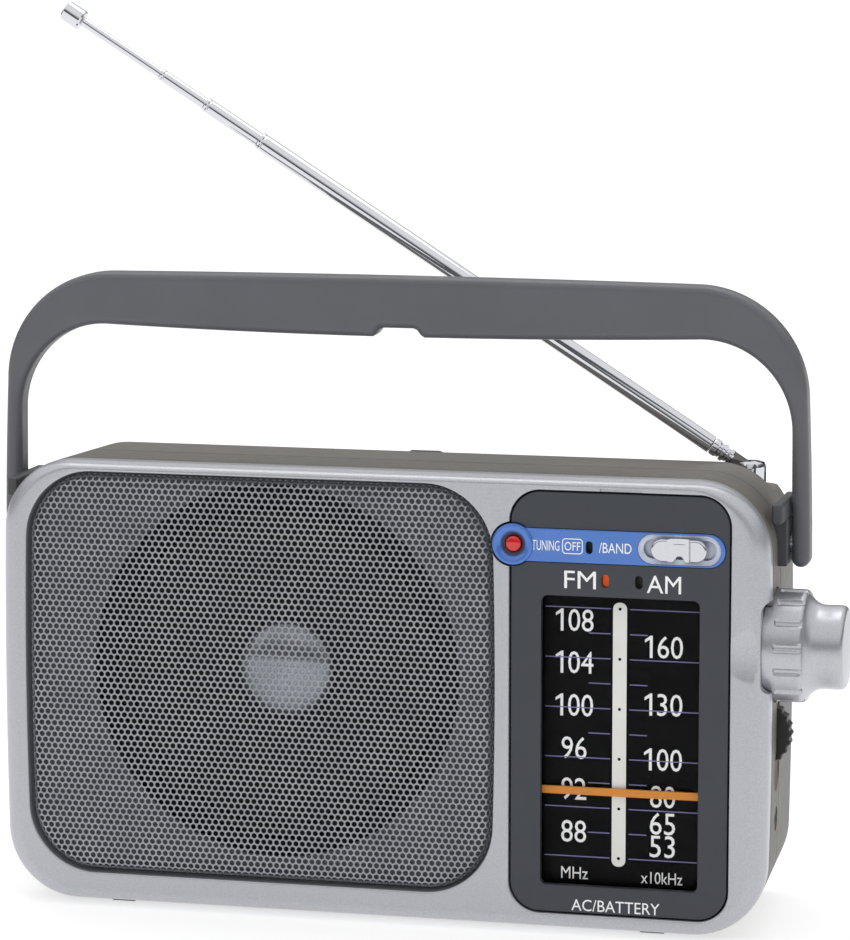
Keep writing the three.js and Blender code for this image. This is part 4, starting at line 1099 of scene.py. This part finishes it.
def antenna():
    """Four chrome sections, the end cap, the knuckle and the turret."""
    for node, body, name, start, end, radius, bore in SECTIONS:
        profile = [(0, -start), (radius, -start), (radius, -end), (0, -end)]
        if bore:
            lip, groove = 0.25, radius - 0.12
            profile = [(bore, -start), (radius, -start), (radius, -end + 1.6), (groove, -end + 1.4),
                       (groove, -end + 1.1), (radius, -end + 0.9), (radius, -end + lip),
                       (radius - lip, -end), (bore, -end), (bore, -start)]
        finish_piece(lean(lathe(name, profile, MAST, "x", 40, 30)), CHROME, body, "chrome_metal", node)
    low, high = 222.4, 228.2
    cap = [(0, -high), (2.3, -high), (2.6, -high + 0.08), (2.85, -high + 0.4), (2.85, -low - 0.4),
           (2.6, -low), (0, -low)]
    tip = lean(lathe("mast_cap", cap, MAST, "x", 48, 30))
    finish_piece(tip, CHROME, "antenna_inner", "chrome_metal", "antenna_tip")
    finish_piece(knuckle_piece(), CHROME, "antenna_mast", "chrome_metal", "antenna_knuckle")
    finish_piece(turret_piece(), CHROME, "antenna_base", "chrome_metal", "antenna_turret")


def knuckle_piece():
    """Flat tongue on the pin, then a ringed collar that takes the outer tube."""
    profile = [(0, -6.2), (2.0, -6.2), (2.3, -6.6), (2.3, -7.4), (1.9, -7.8), (1.9, -8.4), (2.4, -8.8),
               (2.4, -9.6), (2.0, -10.0), (2.0, -10.6), (2.4, -11.0), (2.4, -12.4), (2.2, -12.7), (0, -12.7)]
    collar = lathe("mast_knuckle", profile, MAST, "x", 40)
    eye = [(1.3, -1.4), (2.5, -1.4), (2.7, -1.2), (2.7, 1.2), (2.5, 1.4), (1.3, 1.4), (1.3, -1.4)]
    tongue = lathe("tongue", eye, MAST, "y", 40)
    web = block("web", MAST.x - 7, MAST.x - 2, MAST.y - 1.4, MAST.y + 1.4, MAST.z - 1.9, MAST.z + 1.9)
    carve(collar, web, "UNION")
    carve(collar, tongue, "UNION")
    return even_normals(lean(collar))


def turret_piece():
    """Round turret that turns in the cabinet, with a fork and a rivet for the mast."""
    profile = [(0, -12.5), (5.2, -12.5), (5.2, -8), (4.0, -8), (4.0, 1.4), (3.6, 2.6), (2.4, 3.0), (0, 3.0)]
    body = lathe("turret", profile, MAST, "z", 48)
    x, y, z = MAST
    carve(body, block("fork", x - 10, x + 10, y - 1.6, y + 1.6, z - 3.4, z + 5))
    rivet = [(0, -4.3), (0.9, -4.3), (1.3, -4.0), (1.3, -3.6), (1.0, -3.4), (1.0, 3.4), (1.3, 3.6),
             (1.3, 4.0), (0.9, 4.3), (0, 4.3)]
    carve(body, lathe("rivet", rivet, MAST, "y", 24), "UNION")
    return even_normals(body)


def antenna_clip():
    low, high = span("antenna_clip")
    sizes = front_sizes("antenna_clip", corner=1.4, steps=6)
    tab = plate("clip_tab", sizes, low.y + 0.7, low.y + 2.7, 0.4, 0.4)
    foot = block("clip_foot", low.x, high.x, low.y, high.y, low.z, low.z + 0.6)
    carve(tab, foot, "UNION")
    finish_piece(even_normals(tab), BLACK, "cabinet", "black_plastic", "antenna_clip")


# ---- Stage ----
def stage():
    size = 40.0
    floor_mesh = bpy.data.meshes.new("floor")
    floor_mesh.from_pydata([(-size, -size, 0), (size, -size, 0), (size, size, 0), (-size, size, 0)], [],
                           [(0, 1, 2, 3)])
    floor = new_object("floor", floor_mesh)
    pale = Recipe("pale_floor", (0.5, 0.5, 0.505, 1), 0.6, Specular_IOR_Level=0.0,
                  Emission_Color=(1, 1, 1, 1), Emission_Strength=0.64)
    pale.vary_roughness(pale.noise(3, 2), 0.55, 0.65)
    floor_mesh.materials.append(pale.material)


def sky():
    """White studio light, bright overhead and dim near the horizon."""
    world = bpy.data.worlds.new("studio")
    bpy.context.scene.world = world
    world.use_nodes = True
    tree = world.node_tree
    background = set_inputs(tree.nodes["Background"], Color=(1, 1, 1, 1))
    direction = tree.nodes.new("ShaderNodeTexCoord").outputs["Generated"]
    split = tree.nodes.new("ShaderNodeSeparateXYZ")
    tree.links.new(direction, split.inputs["Vector"])
    ramp = tree.nodes.new("ShaderNodeMapRange")
    ramp.interpolation_type = "SMOOTHSTEP"
    set_inputs(ramp, From_Min=0.12, From_Max=0.6, To_Min=0.08, To_Max=1.0)
    tree.links.new(split.outputs["Z"], ramp.inputs["Value"])
    tree.links.new(ramp.outputs["Result"], background.inputs["Strength"])


def softbox(name, place, aim, width, height, power):
    light = bpy.data.lights.new(name, "AREA")
    light.shape = "RECTANGLE"
    light.size = width
    light.size_y = height
    light.energy = power
    lamp = bpy.data.objects.new(name, light)
    lamp.location = place
    lamp.rotation_euler = (Vector(aim) - Vector(place)).to_track_quat("-Z", "Y").to_euler()
    bpy.context.scene.collection.objects.link(lamp)


def lights():
    aim = (0, 0, 0.09)
    softbox("softbox_top", (-0.1, 0.35, 1.3), aim, 1.2, 0.7, 4.5)
    softbox("softbox_left", (-1.1, -0.9, 0.7), aim, 0.5, 0.9, 0.8)
    softbox("softbox_right", (1.2, -0.7, 0.6), aim, 0.3, 0.8, 0.3)


def camera():
    azimuth, elevation = math.radians(13.772), math.radians(8.196)
    distance, side, rise = 1.0977, 0.00045, 0.01756
    target = ORIGIN + Vector((5.1, 31.8, 100)) * MM
    back = Vector((math.sin(azimuth) * math.cos(elevation), -math.cos(azimuth) * math.cos(elevation),
                   math.sin(elevation)))
    right = Vector((math.cos(azimuth), math.sin(azimuth), 0))
    up = back.cross(right)
    data = bpy.data.cameras.new("camera")
    data.lens = 155.86
    data.clip_start = 0.05
    data.clip_end = 100
    view = bpy.data.objects.new("camera", data)
    view.location = target + back * distance + right * side + up * rise
    view.rotation_euler = back.to_track_quat("Z", "Y").to_euler()
    bpy.context.scene.collection.objects.link(view)
    bpy.context.scene.camera = view
    bpy.context.scene.view_settings.view_transform = "Standard"


def cad_looks():
    for material, names in CAD_LOOKS:
        for name in names.split():
            data = NODES[name].data
            data.materials.clear()
            data.materials.append(material)
            shade(data, 30)


cad_looks()
front_bezel()
front_cabinet()
rear_cabinet()
battery_cover()
feet()
speaker_grille()
speaker()
dial_panel()
control_strip()
tuning_lamp()
band_slider()
band_flag()
dial_face()
panel_print()
dial_pointer()
tuning_knob()
volume_wheel()
handle()
handle_bosses()
antenna()
antenna_clip()
stage()
sky()
lights()
camera()
